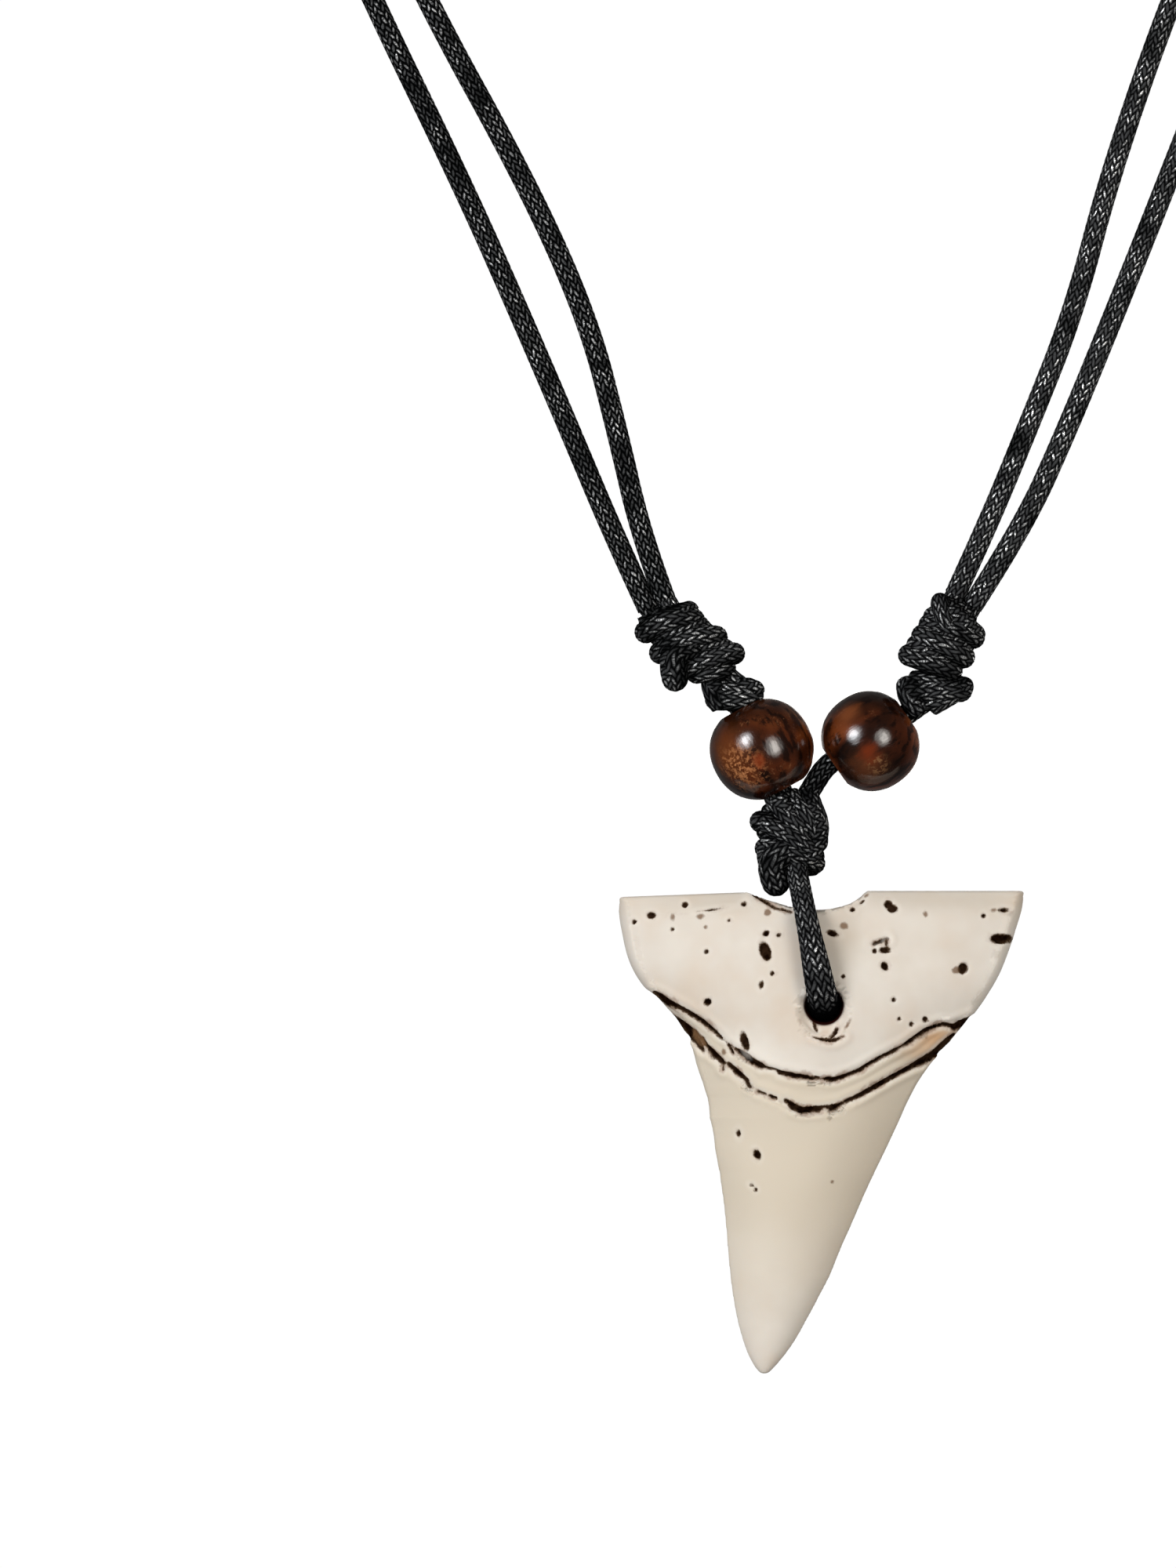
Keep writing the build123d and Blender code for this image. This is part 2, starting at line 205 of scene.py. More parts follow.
class SurfaceBoard(NodeBoard):
    """A material's nodes, added one by one in front of its Principled shader."""

    def __init__(self, name: str) -> None:
        """Start a material.

        Args:
            name: The material's name.
        """
        self.material = bpy.data.materials.new(name)
        super().__init__(self.material)
        self.shader = self.tree.nodes["Principled BSDF"]
        self.place = self.add("TexCoord", {}).outputs["Object"]

    def attribute(self, name: str) -> Socket:
        """Read a value that the piece's mesh carries."""
        return self.add("Attribute", {}, attribute_name=name).outputs["Fac"]

    def noise(self, scale: float, detail: float = 3.0, rough: float = 0.5,
              place: Socket | None = None) -> Socket:
        """Give a noise value around 0.5.

        Args:
            scale: Waves to a metre.
            detail: How many finer layers it has.
            rough: How strong the finer layers are.
            place: Where it is read, the object's own place by default.

        Returns:
            The noise.
        """
        vector = self.place if place is None else place
        inputs = {"Vector": vector, "Scale": scale, "Detail": detail, "Roughness": rough}
        return self.add("TexNoise", inputs).outputs["Fac"]

    def calc(self, operation: str, *values: object) -> Socket:
        """Work out one value from others, each a socket or a number."""
        return self.add("Math", dict(enumerate(values)), operation=operation).outputs[0]

    def times(self, first: object, *others: object) -> Socket:
        """Multiply values with each other.

        Args:
            first: A socket or a number.
            others: What it is multiplied with.

        Returns:
            The product.
        """
        for other in others:
            first = self.calc("MULTIPLY", first, other)
        return first

    def fade(self, value: Socket, start: float, end: float, top: float = 1.0) -> Socket:
        """Give 0 where the value is at start, rising smoothly to the top where it is at end."""
        inputs = {"Value": value, "From Min": start, "From Max": end, "To Max": top}
        return self.add("MapRange", inputs, interpolation_type="SMOOTHSTEP").outputs["Result"]

    def layers(self, base: object, *coats: tuple[Socket, object]) -> Socket:
        """Lay colours over a colour, one after the other.

        Args:
            base: The colour below, a socket or a value.
            coats: Each further colour behind its share, from 0 to 1.

        Returns:
            The colour on top.
        """
        for share, coat in coats:
            inputs = {0: share}
            for number, colour in ((6, base), (7, coat)):
                inputs[number] = colour if isinstance(colour, Socket) else (*colour, 1.0)
            base = self.add("Mix", inputs, data_type="RGBA").outputs[2]
        return base

    def ramp(self, value: Socket, stops: Sequence[tuple[float, tuple]]) -> Socket:
        """Turn a value into a colour.

        Args:
            value: The value.
            stops: Places from 0 to 1, each with its colour.

        Returns:
            The colour.
        """
        node = self.add("ValToRGB", {"Fac": value})
        marks = node.color_ramp.elements
        while len(marks) < len(stops):
            marks.new(0.5)
        for mark, (place, colour) in zip(marks, stops):
            mark.position = place
            mark.color = (*colour, 1.0)
        return node.outputs["Color"]

    def relief(self, height: Socket, depth: float, strength: float = 1.0) -> Socket:
        """Add fine relief to the surface's normal.

        Args:
            height: The relief, from 0 to 1.
            depth: Its depth in metres.
            strength: Its share.

        Returns:
            The normal.
        """
        inputs = {"Height": height, "Distance": depth, "Strength": strength}
        return self.add("Bump", inputs).outputs["Normal"]

    def surface(self, **inputs: object) -> bpy.types.Material:
        """Set the shader's sockets and give the finished material.

        Args:
            inputs: Values or sockets, by the socket's name with underscores for its spaces.

        Returns:
            The material.
        """
        self.fill(self.shader, {name.replace("_", " "): value for name, value in inputs.items()})
        return self.material


@dataclass(frozen=True)
class WaxedCordFinish:
    """Black braided cotton with wax on it, grey where the strands stand up and catch the light. Its
    glints are partly painted highlight and partly metallic, and it carries painted shade.
    """

    dark: tuple = (0.0012, 0.0013, 0.0014)
    dusty: tuple = (0.080, 0.083, 0.085)
    glint_grey: tuple = (0.80, 0.81, 0.81)
    wax: tuple = (0.046, 0.047, 0.049)
    roughness: float = 0.60
    strand_relief: float = 0.00008

    def material(self) -> bpy.types.Material:
        """Build the material, its braid drawn from the strands that the cord's map counts."""
        board = SurfaceBoard("waxed_cord")
        crest, chance = self.braid(board)
        fibre = board.noise(6500.0, 2.0, 0.7)
        patches = board.noise(420.0, 2.0)
        # Painted shade: this attribute marks the knots' creases and the loop inside the tooth's hole,
        # where the colour is taken down to the dark base and the glints are left out.
        soot = board.attribute("soot")
        film = board.attribute("wax")
        unshaded = board.calc("SUBTRACT", 1.0, soot)
        dusty = board.times(board.fade(crest, 0.30, 0.95), board.fade(fibre, 0.25, 0.55),
                            board.fade(patches, 0.1, 0.6))
        glint = board.times(board.fade(crest, 0.50, 0.95), board.fade(chance, 0.25, 0.95),
                            board.fade(fibre, 0.4, 0.6), board.fade(patches, 0.3, 0.6), unshaded)
        glint = board.calc("MULTIPLY_ADD", glint, film, glint)
        filled = board.times(film, board.fade(patches, 0.2, 0.65), board.fade(crest, 0.1, 0.55))
        # painted highlight: the glints are laid into the colour as near white, besides being partly
        # metallic below
        colour = board.layers(self.dark, (dusty, self.dusty), (filled, self.wax), (glint, self.glint_grey))
        gloss = board.calc("MULTIPLY_ADD", glint, -0.3, self.roughness)
        return board.surface(
            Base_Color=board.layers(self.dark, (unshaded, colour)),
            Metallic=board.times(glint, 0.75),
            Roughness=board.calc("MULTIPLY_ADD", soot, 0.35, gloss),
            Specular_IOR_Level=0.0,
            Normal=board.relief(crest, self.strand_relief),
        )

    @staticmethod
    def braid(board: SurfaceBoard) -> tuple[Socket, Socket]:
        """Draw a braid whose strands each pass over two and under two.

        Args:
            board: The material's nodes.

        Returns:
            How high the strand on top stands at each place, and a chance value of its own.
        """
        calc = board.calc
        spot = board.add("UVMap", {}, uv_map=Braid.MAP).outputs["UV"]
        waves = board.add("TexNoise", {"Vector": board.place, "Scale": 800.0, "Detail": 2.0})
        drift = board.add("VectorMath", {
            0: waves.outputs["Color"], 1: (0.9, 0.9, 0.0), 2: spot,
        }, operation="MULTIPLY_ADD").outputs["Vector"]
        parts = board.add("SeparateXYZ", {"Vector": drift})
        one_way = calc("ADD", parts.outputs["X"], parts.outputs["Y"])
        other_way = calc("SUBTRACT", parts.outputs["X"], parts.outputs["Y"])
        column = calc("FLOOR", one_way)
        row = calc("FLOOR", other_way)
        both = calc("ADD", column, row)
        step = calc("FLOORED_MODULO", both, 4.0)
        under = calc("GREATER_THAN", step, 1.5)
        in_column = calc("FRACT", one_way)
        in_row = calc("FRACT", other_way)
        across = calc("MULTIPLY_ADD", under, calc("SUBTRACT", in_row, in_column), in_column)
        run = calc("SUBTRACT", calc("ADD", in_row, in_column), across)
        passed = calc("MULTIPLY_ADD", under, -2.0, calc("ADD", step, run))
        over = calc("SINE", board.times(passed, pi / 2.0))
        side = calc("SINE", board.times(across, pi))
        crest = board.times(side, calc("MULTIPLY_ADD", over, 0.75, 0.25))
        own = calc("MULTIPLY_ADD", under, calc("SUBTRACT", row, column), column)
        turn = calc("FLOOR", board.times(both, 0.25))
        place = board.add("CombineXYZ", {"X": own, "Y": turn, "Z": under})
        chance = board.add("TexWhiteNoise", {"Vector": place.outputs["Vector"]})
        return crest, chance.outputs["Value"]


@dataclass(frozen=True)
class Glow:
    """A place on a bead where the wood is lighter and redder, measured in millimetres; one with a
    dark colour is painted shade.
    """

    middle: Point
    reach: float
    colour: tuple[float, float, float]
    speckled: bool = False


@dataclass(frozen=True)
class LacqueredWoodFinish:
    """Dark red-brown wood under clear lacquer, with copper flecks along its grain."""

    name: str
    axis: tuple[float, float, float]  # the way that the grain runs
    centre: tuple[float, float, float]  # in metres
    glows: tuple[Glow, ...]
    tones: tuple = (
        (0.36, (0.006, 0.0020, 0.0010)), (0.45, (0.032, 0.0070, 0.0018)),
        (0.53, (0.080, 0.0165, 0.0035)), (0.60, (0.17, 0.040, 0.0095)),
        (0.68, (0.30, 0.09, 0.024)),
    )
    shaded: tuple = (0.010, 0.0035, 0.0014)
    pores: tuple = (0.006, 0.0022, 0.0014)
    copper: tuple = (0.30, 0.12, 0.05)

    def material(self) -> bpy.types.Material:
        """Build the material, its grain drawn out along the bead's axis."""
        board = SurfaceBoard(self.name)
        turn = Vector(self.axis).rotation_difference(Vector((0.0, 0.0, 1.0)))
        shift = tuple(-c for c in turn @ Vector(self.centre))
        upright = board.add("Mapping", {
            "Vector": board.place, "Rotation": turn.to_euler(), "Location": shift,
        }).outputs["Vector"]
        drawn = board.add("Mapping", {"Vector": upright, "Scale": (1.0, 1.0, 0.3)}).outputs["Vector"]
        streaks = board.noise(1100.0, 4.0, 0.6, drawn)
        bands = board.noise(300.0, 2.0, 0.5, drawn)
        clouds = board.noise(210.0, 2.0, 0.5)
        flecks = board.noise(2700.0, 3.0, 0.7)
        mixed = board.calc("ADD", board.times(bands, 0.5), board.times(clouds, 0.5))
        height = board.add("SeparateXYZ", {"Vector": board.place}).outputs["Z"]
        top = board.fade(height, self.centre[2] + 0.0005, self.centre[2] + 0.0042, 0.85)
        stray = board.times(board.fade(flecks, 0.56, 0.68), board.fade(clouds, 0.55, 0.65, 0.35))
        colour = board.layers(
            board.ramp(mixed, self.tones),
            (top, self.shaded),
            (board.fade(streaks, 0.52, 0.38, 0.85), self.pores),
            (stray, self.copper),
        )
        for glow in self.glows:
            away = board.add("VectorMath", {
                0: board.place, 1: tuple(c * MM for c in glow.middle),
            }, operation="DISTANCE").outputs["Value"]
            ragged = board.calc("MULTIPLY_ADD", streaks, 2.0 * MM, away)
            share = board.fade(ragged, (glow.reach + 1.0) * MM, 1.0 * MM, 0.85)
            if glow.speckled:
                share = board.times(share, board.fade(flecks, 0.47, 0.58))
            colour = board.layers(colour, (share, glow.colour))
        grain = board.relief(streaks, 0.00005, 0.6)
        return board.surface(
            Base_Color=colour,
            Roughness=0.5,
            Specular_IOR_Level=0.0,
            Coat_Weight=board.calc("MULTIPLY_ADD", board.fade(streaks, 0.38, 0.52), 0.3, 0.7),
            Coat_Roughness=0.15,
            Coat_IOR=1.75,
            Normal=grain,
            Coat_Normal=grain,
        )


@dataclass(frozen=True)
class ToothFinish:
    """Cream, satin tooth with brown stains in its lines and pits, painted highlights round them and
    painted shade inside its hole.
    """

    cream: tuple = (0.71, 0.645, 0.565)
    # a painted highlight on the rims round the lines and pits
    pale: tuple = (0.755, 0.70, 0.625)
    rosy: tuple = (0.685, 0.59, 0.49)
    crown: tuple = (0.66, 0.58, 0.465)
    painted_rim_highlight: tuple = (0.80, 0.745, 0.67)
    # the black in the cores of the tooth's stains
    soot: tuple = (0.006, 0.002, 0.0008)
    umber: tuple = (0.030, 0.015, 0.0075)
    brown: tuple = (0.085, 0.047, 0.021)
    faded: tuple = (0.17, 0.09, 0.042)
    rust: tuple = (0.22, 0.095, 0.04)
    olive: tuple = (0.62, 0.37, 0.195)
    dust: tuple = (0.36, 0.29, 0.20)
    # painted shade inside the hole
    bore: tuple = (0.028, 0.005, 0.003)

    def material(self) -> bpy.types.Material:
        """Build the material from the distances that the tooth's mesh carries, in millimetres."""
        board = SurfaceBoard("tooth")
        clouds = board.noise(150.0, 3.0, 0.5)
        ragged = board.noise(2600.0, 4.0, 0.65)
        coarse = board.noise(700.0, 3.0, 0.6)
        # painted shade: the hole's wall is painted dark
        bore = board.attribute("bore")
        base = board.layers(
            board.ramp(clouds, ((0.32, self.rosy), (0.5, self.cream), (0.66, self.pale))),
            (board.attribute("crown"), self.crown),
            (board.fade(board.attribute("warmth"), 0.0, 1.0), self.olive),
            # painted shade: a painted shadow right of the loop and shade along the top's edge
            (board.attribute("dust"), self.dust),
        )
        jitter = board.times(board.calc("SUBTRACT", ragged, 0.5), 0.30)
        smear = board.times(board.calc("SUBTRACT", coarse, 0.5), 1.5)
        deep = board.layers(self.soot, (board.fade(coarse, 0.42, 0.66), self.umber))
        stain_and_bore = bore
        for name, smeared, rim_highlight_share in (("line_gap", 0.55, 0.45), ("pit_gap", 0.15, 0.25)):
            gap = board.attribute(name)
            loose = board.calc("ADD", gap, smear)
            edge = board.calc("ADD", gap, jitter)
            core = board.fade(edge, 0.0, -0.13)
            base = board.layers(
                base,
                # a pale ring round each mark: painted highlight on its rim
                (board.fade(gap, 0.5, 0.1, rim_highlight_share), self.painted_rim_highlight),
                (board.fade(loose, 0.28, -0.1, smeared), self.rust),
                (board.fade(edge, 0.08, -0.06), self.brown),
                (core, deep),
            )
            stain_and_bore = board.calc("MAXIMUM", stain_and_bore, core)
        faint = board.fade(board.calc("ADD", board.attribute("faint_gap"), jitter), 0.10, -0.12, 0.85)
        return board.surface(
            Base_Color=board.layers(base, (faint, self.faded), (bore, self.bore)),
            Roughness=board.calc("MULTIPLY_ADD", stain_and_bore, 0.4, 0.5),
            Specular_IOR_Level=0.0,
            Coat_Weight=board.times(board.calc("SUBTRACT", 1.0, stain_and_bore), 0.7),
            Coat_Roughness=0.5,
            Coat_IOR=1.3,
            Subsurface_Weight=0.1,
            Subsurface_Radius=(0.0012, 0.0008, 0.0005),
            Subsurface_Scale=1.0,
            Normal=board.relief(coarse, 0.00002, 0.35),
        )


# Cords


def smooth_line(name: str, points: Sequence[Point]) -> np.ndarray:
    """Lay a smooth line through a route.

    Args:
        name: A name for the working curve.
        points: The route's control points in millimetres.

    Returns:
        The points along the line, in metres.
    """
    curve = bpy.data.curves.new(f"{name}_route", "CURVE")
    curve.dimensions = "3D"
    curve.resolution_u = ROUTE_STEPS
    spline = curve.splines.new("NURBS")
    spline.points.add(len(points) - 1)
    for slot, point in zip(spline.points, points):
        slot.co = (*(c * MM for c in point), 1.0)
    spline.order_u = 3
    spline.use_endpoint_u = True
    holder = add_object(f"{name}_route", curve)
    bpy.context.view_layer.update()
    mesh = bpy.data.meshes.new_from_object(holder)
    line = np.array([vertex.co for vertex in mesh.vertices])
    bpy.data.objects.remove(holder)
    bpy.data.curves.remove(curve)
    bpy.data.meshes.remove(mesh)
    return line


def spread(line: np.ndarray, step: float, closed: bool) -> tuple[np.ndarray, np.ndarray]:
    """Place points a step apart along a line.

    Args:
        line: The points of the line.
        step: About how far apart the new points are, in the same unit.
        closed: Whether the line runs back to its start.

    Returns:
        The new points, and how far along the line each one is.
    """
    ring = np.vstack([line, line[:1]]) if closed else line
    runs = np.linalg.norm(np.diff(ring, axis=0), axis=1)
    along = np.concatenate([[0.0], np.cumsum(runs)])
    count = max(8, int(round(along[-1] / step)))
    places = np.linspace(0.0, along[-1], count + 1)
    if closed:
        places = places[:-1]
    points = np.stack([np.interp(places, along, ring[:, axis]) for axis in range(3)], axis=1)
    return points, places


class End(Enum):
    """How a cord's end looks."""

    HIDDEN = "runs into a knot"
    CUT = "cut and melted round"


@dataclass
class Braid:
    """A round braid, each strand of which passes over two others and under two."""

    MAP: ClassVar[str] = "braid"
    strands_each_way: int = 16
    strand_width: float = 0.39
    strand_run: float = 0.78  # along the cord, while a strand moves round by its own width
    relief: float = 0.05
    sides: int = 40
    step: float = 0.21

    def tube(self, name: str, line: np.ndarray, side: Vector, thickness: float = CORD,
             closed: bool = False, widths: np.ndarray | None = None,
             end: End = End.HIDDEN, seed: int = 0) -> bpy.types.Object:
        """Sweep the braid along a line.

        Args:
            name: The piece's name.
            line: The points of the line, in metres.
            side: A direction across the line, the first side of its section.
            thickness: The tube's diameter, in millimetres.
            closed: Whether the line runs back to its start.
            widths: Shares of the width and depth from one end of the line to the other.
            end: How an open tube ends.
            seed: A number that makes this tube's strands differ from another's.

        Returns:
            The tube.
        """
        points, places = spread(line, self.step * MM, closed)
        count = len(points)
        if closed:
            tangents = np.roll(points, -1, axis=0) - np.roll(points, 1, axis=0)
        else:
            tangents = np.gradient(points, axis=0)
        tangents /= np.linalg.norm(tangents, axis=1)[:, None]
        across = np.cross(tangents, np.cross(np.array(side), tangents))
        across /= np.linalg.norm(across, axis=1)[:, None]
        outward = np.cross(tangents, across)

        rings = count + 1 if closed else count
        around = np.linspace(0.0, self.strands_each_way, self.sides + 1)
        along = seed * 40.0 + places / (self.strand_run * MM)
        if closed:
            whole = max(1, round((places[-1] + places[1]) / (self.strand_run * MM)))
            along = seed * 40.0 + np.linspace(0.0, whole, rings)
        crest = self.weave(around[None, :-1], along[:count, None])

        radius = (thickness / 2.0 - self.relief * (1.0 - crest)) * MM
        shape = np.ones((count, 2))
        if widths is not None:
            marks = np.linspace(0.0, 1.0, len(widths))
            for axis in range(2):
                shape[:, axis] = np.interp(places / places[-1], marks, widths[:, axis])
        if end is End.CUT:
            left = np.clip((places[-1] - places) / (thickness * MM / 2.0), 0.0, 1.0)
            shape *= np.sqrt(np.clip(1.0 - (1.0 - left) ** 2, 0.02, 1.0))[:, None]
        angle = around[:-1] / self.strands_each_way * 2.0 * pi
        ring = (across[:, None] * (np.cos(angle) * radius * shape[:, :1])[:, :, None]
                + outward[:, None] * (np.sin(angle) * radius * shape[:, 1:])[:, :, None])
        corners = (points[:, None] + ring).reshape(-1, 3)
        return self.skin(name, corners, around, along, closed)

    def weave(self, around: np.ndarray, along: np.ndarray) -> np.ndarray:
        """Work out how high the strand on top stands.

        Args:
            around: Places round the cord, counted in strands.
            along: Places along it, counted in strand runs.

        Returns:
            The height, from 0 to 1.
        """
        one_way = around + along
        other_way = around - along
        column = np.floor(one_way)
        row = np.floor(other_way)
        step = (column + row) % 4
        under = step > 1.5
        in_column = one_way - column
        in_row = other_way - row
        across = np.where(under, in_row, in_column)
        run = np.where(under, in_column + step - 2.0, in_row + step)
        return np.sin(pi * across) * (0.25 + 0.75 * np.sin(pi / 2.0 * run))

    def skin(self, name: str, corners: np.ndarray, around: np.ndarray, along: np.ndarray,
             closed: bool) -> bpy.types.Object:
        """Join the tube's rings by faces and map the braid onto them.

        Args:
            name: The piece's name.
            corners: The rings' corners, ring by ring.
            around: The map's places round the cord.
            along: The map's places along it.
            closed: Whether the last ring joins the first.

        Returns:
            The tube.
        """
        count = len(corners) // self.sides
        faces = []
        spots = []
        for ring in range(len(along) - 1):
            here = ring * self.sides
            there = (ring + 1) % count * self.sides
            for side in range(self.sides):
                beside = (side + 1) % self.sides
                faces.append((here + side, here + beside, there + beside, there + side))
                spots.extend(((around[side], along[ring]), (around[side + 1], along[ring]),
                              (around[side + 1], along[ring + 1]), (around[side], along[ring + 1])))
        if not closed:
            last = (count - 1) * self.sides
            faces.append(tuple(reversed(range(self.sides))))
            faces.append(tuple(last + side for side in range(self.sides)))
            spots.extend([(0.0, 0.0)] * 2 * self.sides)
        mesh = bpy.data.meshes.new(name)
        mesh.from_pydata(corners.tolist(), [], faces)
        mesh.uv_layers.new(name=self.MAP).data.foreach_set("uv", np.array(spots, np.float32).ravel())
        smooth = np.ones(len(faces), bool)
        smooth[-2:] = closed  # an open tube's last two faces are its flat ends
        mesh.polygons.foreach_set("use_smooth", smooth)
        mesh.update()
        return add_object(name, mesh)


def dress(piece: bpy.types.Object, material: bpy.types.Material, body: str,
          node: str) -> None:
    """Give a piece its finish and body, and let it stand for its solid.

    Args:
        piece: The piece.
        material: Its finish.
        body: The body that it moves with.
        node: The solid that it replaces.
    """
    piece.data.materials.clear()
    piece.data.materials.append(material)
    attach(piece, body)
    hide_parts(node)
    LOG.info("%s: %d faces", piece.name, len(piece.data.polygons))


@dataclass
class NeckStrand:
    """One of the two strands that run side by side round the neck."""

    node: str
    corners: Sequence[Point]
    length: float
    seed: int
    waxed: float = 0.75  # how much wax is on its right side
    wax_reach: float = 20.0  # how far to the right of the middle it has all its wax

    def build(self, braid: Braid, material: bpy.types.Material) -> None:
        """Lay the strand from one slide knot round the neck to the other.

        Args:
            braid: The cord's braid.
            material: The cord's finish.
        """
        line = smooth_line(self.node, self.corners)
        piece = braid.tube(f"{self.node}_braid", line, BACKWARD, seed=self.seed)
        across = read_vectors(piece.data.vertices, "co")[:, 0] / MM
        note_values(piece.data, wax=self.waxed * np.clip(across / self.wax_reach, 0.0, 1.0))
        dress(piece, material, NECKLACE_BODY, self.node)


@dataclass
class ShortCord:
    """A short stretch of the cord that is held at both ends."""

    node: str
    corners: Sequence[Point]
    side: Vector = BACKWARD
    widths: Sequence[tuple[float, float]] | None = None
    dark_depth: float = 0.0  # how far in front of and behind the middle it is painted black, as shade inside the tooth's hole
    dark_fade: float = 1.2  # over how much depth the black fades out
    waxed: float = 0.6  # how much wax is on the rest of a cord that is partly black

    def build(self, braid: Braid, material: bpy.types.Material) -> None:
        """Lay the cord from its first corner to its last.

        Args:
            braid: The cord's braid.
            material: The cord's finish.
        """
        line = smooth_line(self.node, self.corners)
        widths = None if self.widths is None else np.array(self.widths)
        piece = braid.tube(f"{self.node}_braid", line, self.side, widths=widths)
        # painted shade: the loop is darkened where it runs inside the tooth's hole
        if self.dark_depth:
            depth = np.abs(read_vectors(piece.data.vertices, "co")[:, 1]) / MM
            from_middle = np.abs(np.arange(len(depth)) / len(depth) - 0.5)
            soot = np.clip((self.dark_depth - depth) / self.dark_fade, 0.0, 1.0)
            soot *= np.clip(3.0 - 8.0 * from_middle, 0.0, 1.0)
            note_values(piece.data, soot=soot, wax=self.waxed * (1.0 - soot))
        dress(piece, material, NECKLACE_BODY, self.node)


@dataclass(frozen=True)
class Wrap:
    """One turn right round a knot, a slanted ring that shows its front half.

    Places are in cord diameters from the knot's middle: across to the right and up.
    """

    left: tuple[float, float]
    right: tuple[float, float]
    front: float  # how far its front stands out
    thickness: float = 1.05
    bow: float = 0.0  # how far its front is bent up


@dataclass(frozen=True)
class Bight:
    """A short run of the cord over the knot, its ends tucked in unless the last one is cut."""

    points: tuple[Point, ...]  # across, in depth and up, in cord diameters from the knot's middle
    thickness: float = 1.05
    end: End = End.HIDDEN


@dataclass
class Knot:
    """A knot wound of the cord, all its turns in one piece."""

    node: str
    middle: Point
    wraps: Sequence[Wrap]
    bights: Sequence[Bight] = ()
    strands: Sequence[tuple[Point, Point]] = ()  # ends of other cords, and where they run to
    axis_lean: float = 0.0
    # how much painted shade lies in the creases between the turns
    painted_crease_shade: float = 0.8
    waxed: float = 0.6  # how far wax fills the braid where the turns stand out
    slant: float = 20.0  # how far the strands on its core are turned, in degrees
    tuck: float = 0.12  # how far the wound core lies inside its solid
    voxel: float = 0.25
    inner_cord: float = 1.88
    core_shift: Point = (0.0, 0.0, 0.0)  # how far the core is set over, in millimetres

    def place(self, across: float, depth: float, up: float) -> Point:
        """Give a place in the knot, in millimetres, from cord diameters."""
        return (self.middle[0] + across * CORD, self.middle[1] + depth * CORD,
                self.middle[2] + up * CORD)

    def ring(self, wrap: Wrap) -> np.ndarray:
        """Lay the line of a wrap once round the knot's core.

        Args:
            wrap: The wrap.

        Returns:
            The points along the line, in metres.
        """
        half = Vector(((wrap.right[0] - wrap.left[0]) / 2.0, (wrap.right[1] - wrap.left[1]) / 2.0))
        across = wrap.left[0] + half.x
        up = wrap.left[1] + half.y
        rise = Vector((-half.y, half.x)).normalized()
        line = []
        for turn in np.linspace(0.0, 2.0 * pi, RING_STEPS, endpoint=False):
            swing = -cos(turn)
            lift = wrap.bow * sin(turn) ** 2 if turn < pi else 0.0
            line.append(self.place(across + half.x * swing + rise.x * lift, -wrap.front * sin(turn),
                                   up + half.y * swing + rise.y * lift))
        return np.array(line) * MM

    def core(self, source: bpy.types.Object, braid: Braid) -> bpy.types.Object:
        """Copy the knot's solid, a little smaller, to stand between its turns.

        Args:
            source: The knot's solid.
            braid: The cord's braid.

        Returns:
            The core.
        """
        thing = add_object(f"{self.node}_core", source.data.copy())
        thing.data.materials.clear()
        refine(thing, self.voxel, 8)
        mesh = thing.data
        spots = read_vectors(mesh.vertices, "co")
        spots -= read_vectors(mesh.vertices, "normal") * self.tuck * MM
        spots += np.array(self.core_shift) * MM
        mesh.vertices.foreach_set("co", spots.astype(np.float32).ravel())
        mesh.shade_smooth()
        corner = np.empty(len(mesh.loops), np.int32)
        mesh.loops.foreach_get("vertex_index", corner)
        spots = spots[corner] / MM
        slant = radians(self.slant)
        around = spots[:, 0] * cos(slant) + spots[:, 2] * sin(slant) + 0.6 * spots[:, 1]
        along = spots[:, 2] * cos(slant) - spots[:, 0] * sin(slant)
        spots = np.stack([along / braid.strand_width, around / braid.strand_run], axis=1)
        mesh.uv_layers.new(name=Braid.MAP).data.foreach_set("uv", spots.astype(np.float32).ravel())
        return thing

    def build(self, braid: Braid, material: bpy.types.Material, source: bpy.types.Object) -> None:
        """Wind the knot's wraps and bights round its core and join them in one piece.

        Args:
            braid: The cord's braid.
            material: The cord's finish.
            source: The knot's solid.
        """
        parts = [self.core(source, braid)]
        for number, wrap in enumerate(self.wraps):
            line = self.ring(wrap)
            side = Vector(line[RING_STEPS // 2] - line[0]).cross(BACKWARD).normalized()
            parts.append(braid.tube(f"{self.node}_wrap", line, side, wrap.thickness * CORD,
                                    closed=True, seed=number + 11))
        for number, bight in enumerate(self.bights):
            line = smooth_line(self.node, [self.place(*spot) for spot in bight.points])
            parts.append(braid.tube(f"{self.node}_bight", line, BACKWARD, bight.thickness * CORD,
                                    end=bight.end, seed=number + 31))
        for number, (outer, inner) in enumerate(self.strands):
            line = np.linspace(np.array(outer), np.array(self.place(*inner)), 12) * MM
            parts.append(braid.tube(f"{self.node}_strand", line, BACKWARD, self.inner_cord,
                                    seed=number + 51))
        select(*parts)
        bpy.ops.object.join()
        piece = parts[0]
        piece.name = f"{self.node}_braid"
        piece.data.name = piece.name
        self.paint_crease_shade(piece.data)
        dress(piece, material, NECKLACE_BODY, self.node)

    def paint_crease_shade(self, mesh: bpy.types.Mesh) -> None:
        """Paint shade into the creases between the knot's turns, keeping its dust, wax and glints to
        where the turns stand out.

        Args:
            mesh: The mesh of the knot with all its turns.
        """
        spots = read_vectors(mesh.vertices, "co") - np.array(self.middle) * MM
        axis = np.array(lean(self.axis_lean))
        outward = spots - (spots @ axis)[:, None] * axis
        outward /= np.maximum(np.linalg.norm(outward, axis=1), 1e-9)[:, None]
        facing = np.sum(outward * read_vectors(mesh.vertices, "normal"), axis=1)
        # painted shade: where the surface turns away from the knot's outside it is darkened and kept
        # free of wax
        crease = np.clip((0.96 - facing) / 0.5, 0.0, 1.0)
        note_values(mesh, soot=self.painted_crease_shade * crease, wax=self.waxed * (1.0 - crease))


# Beads


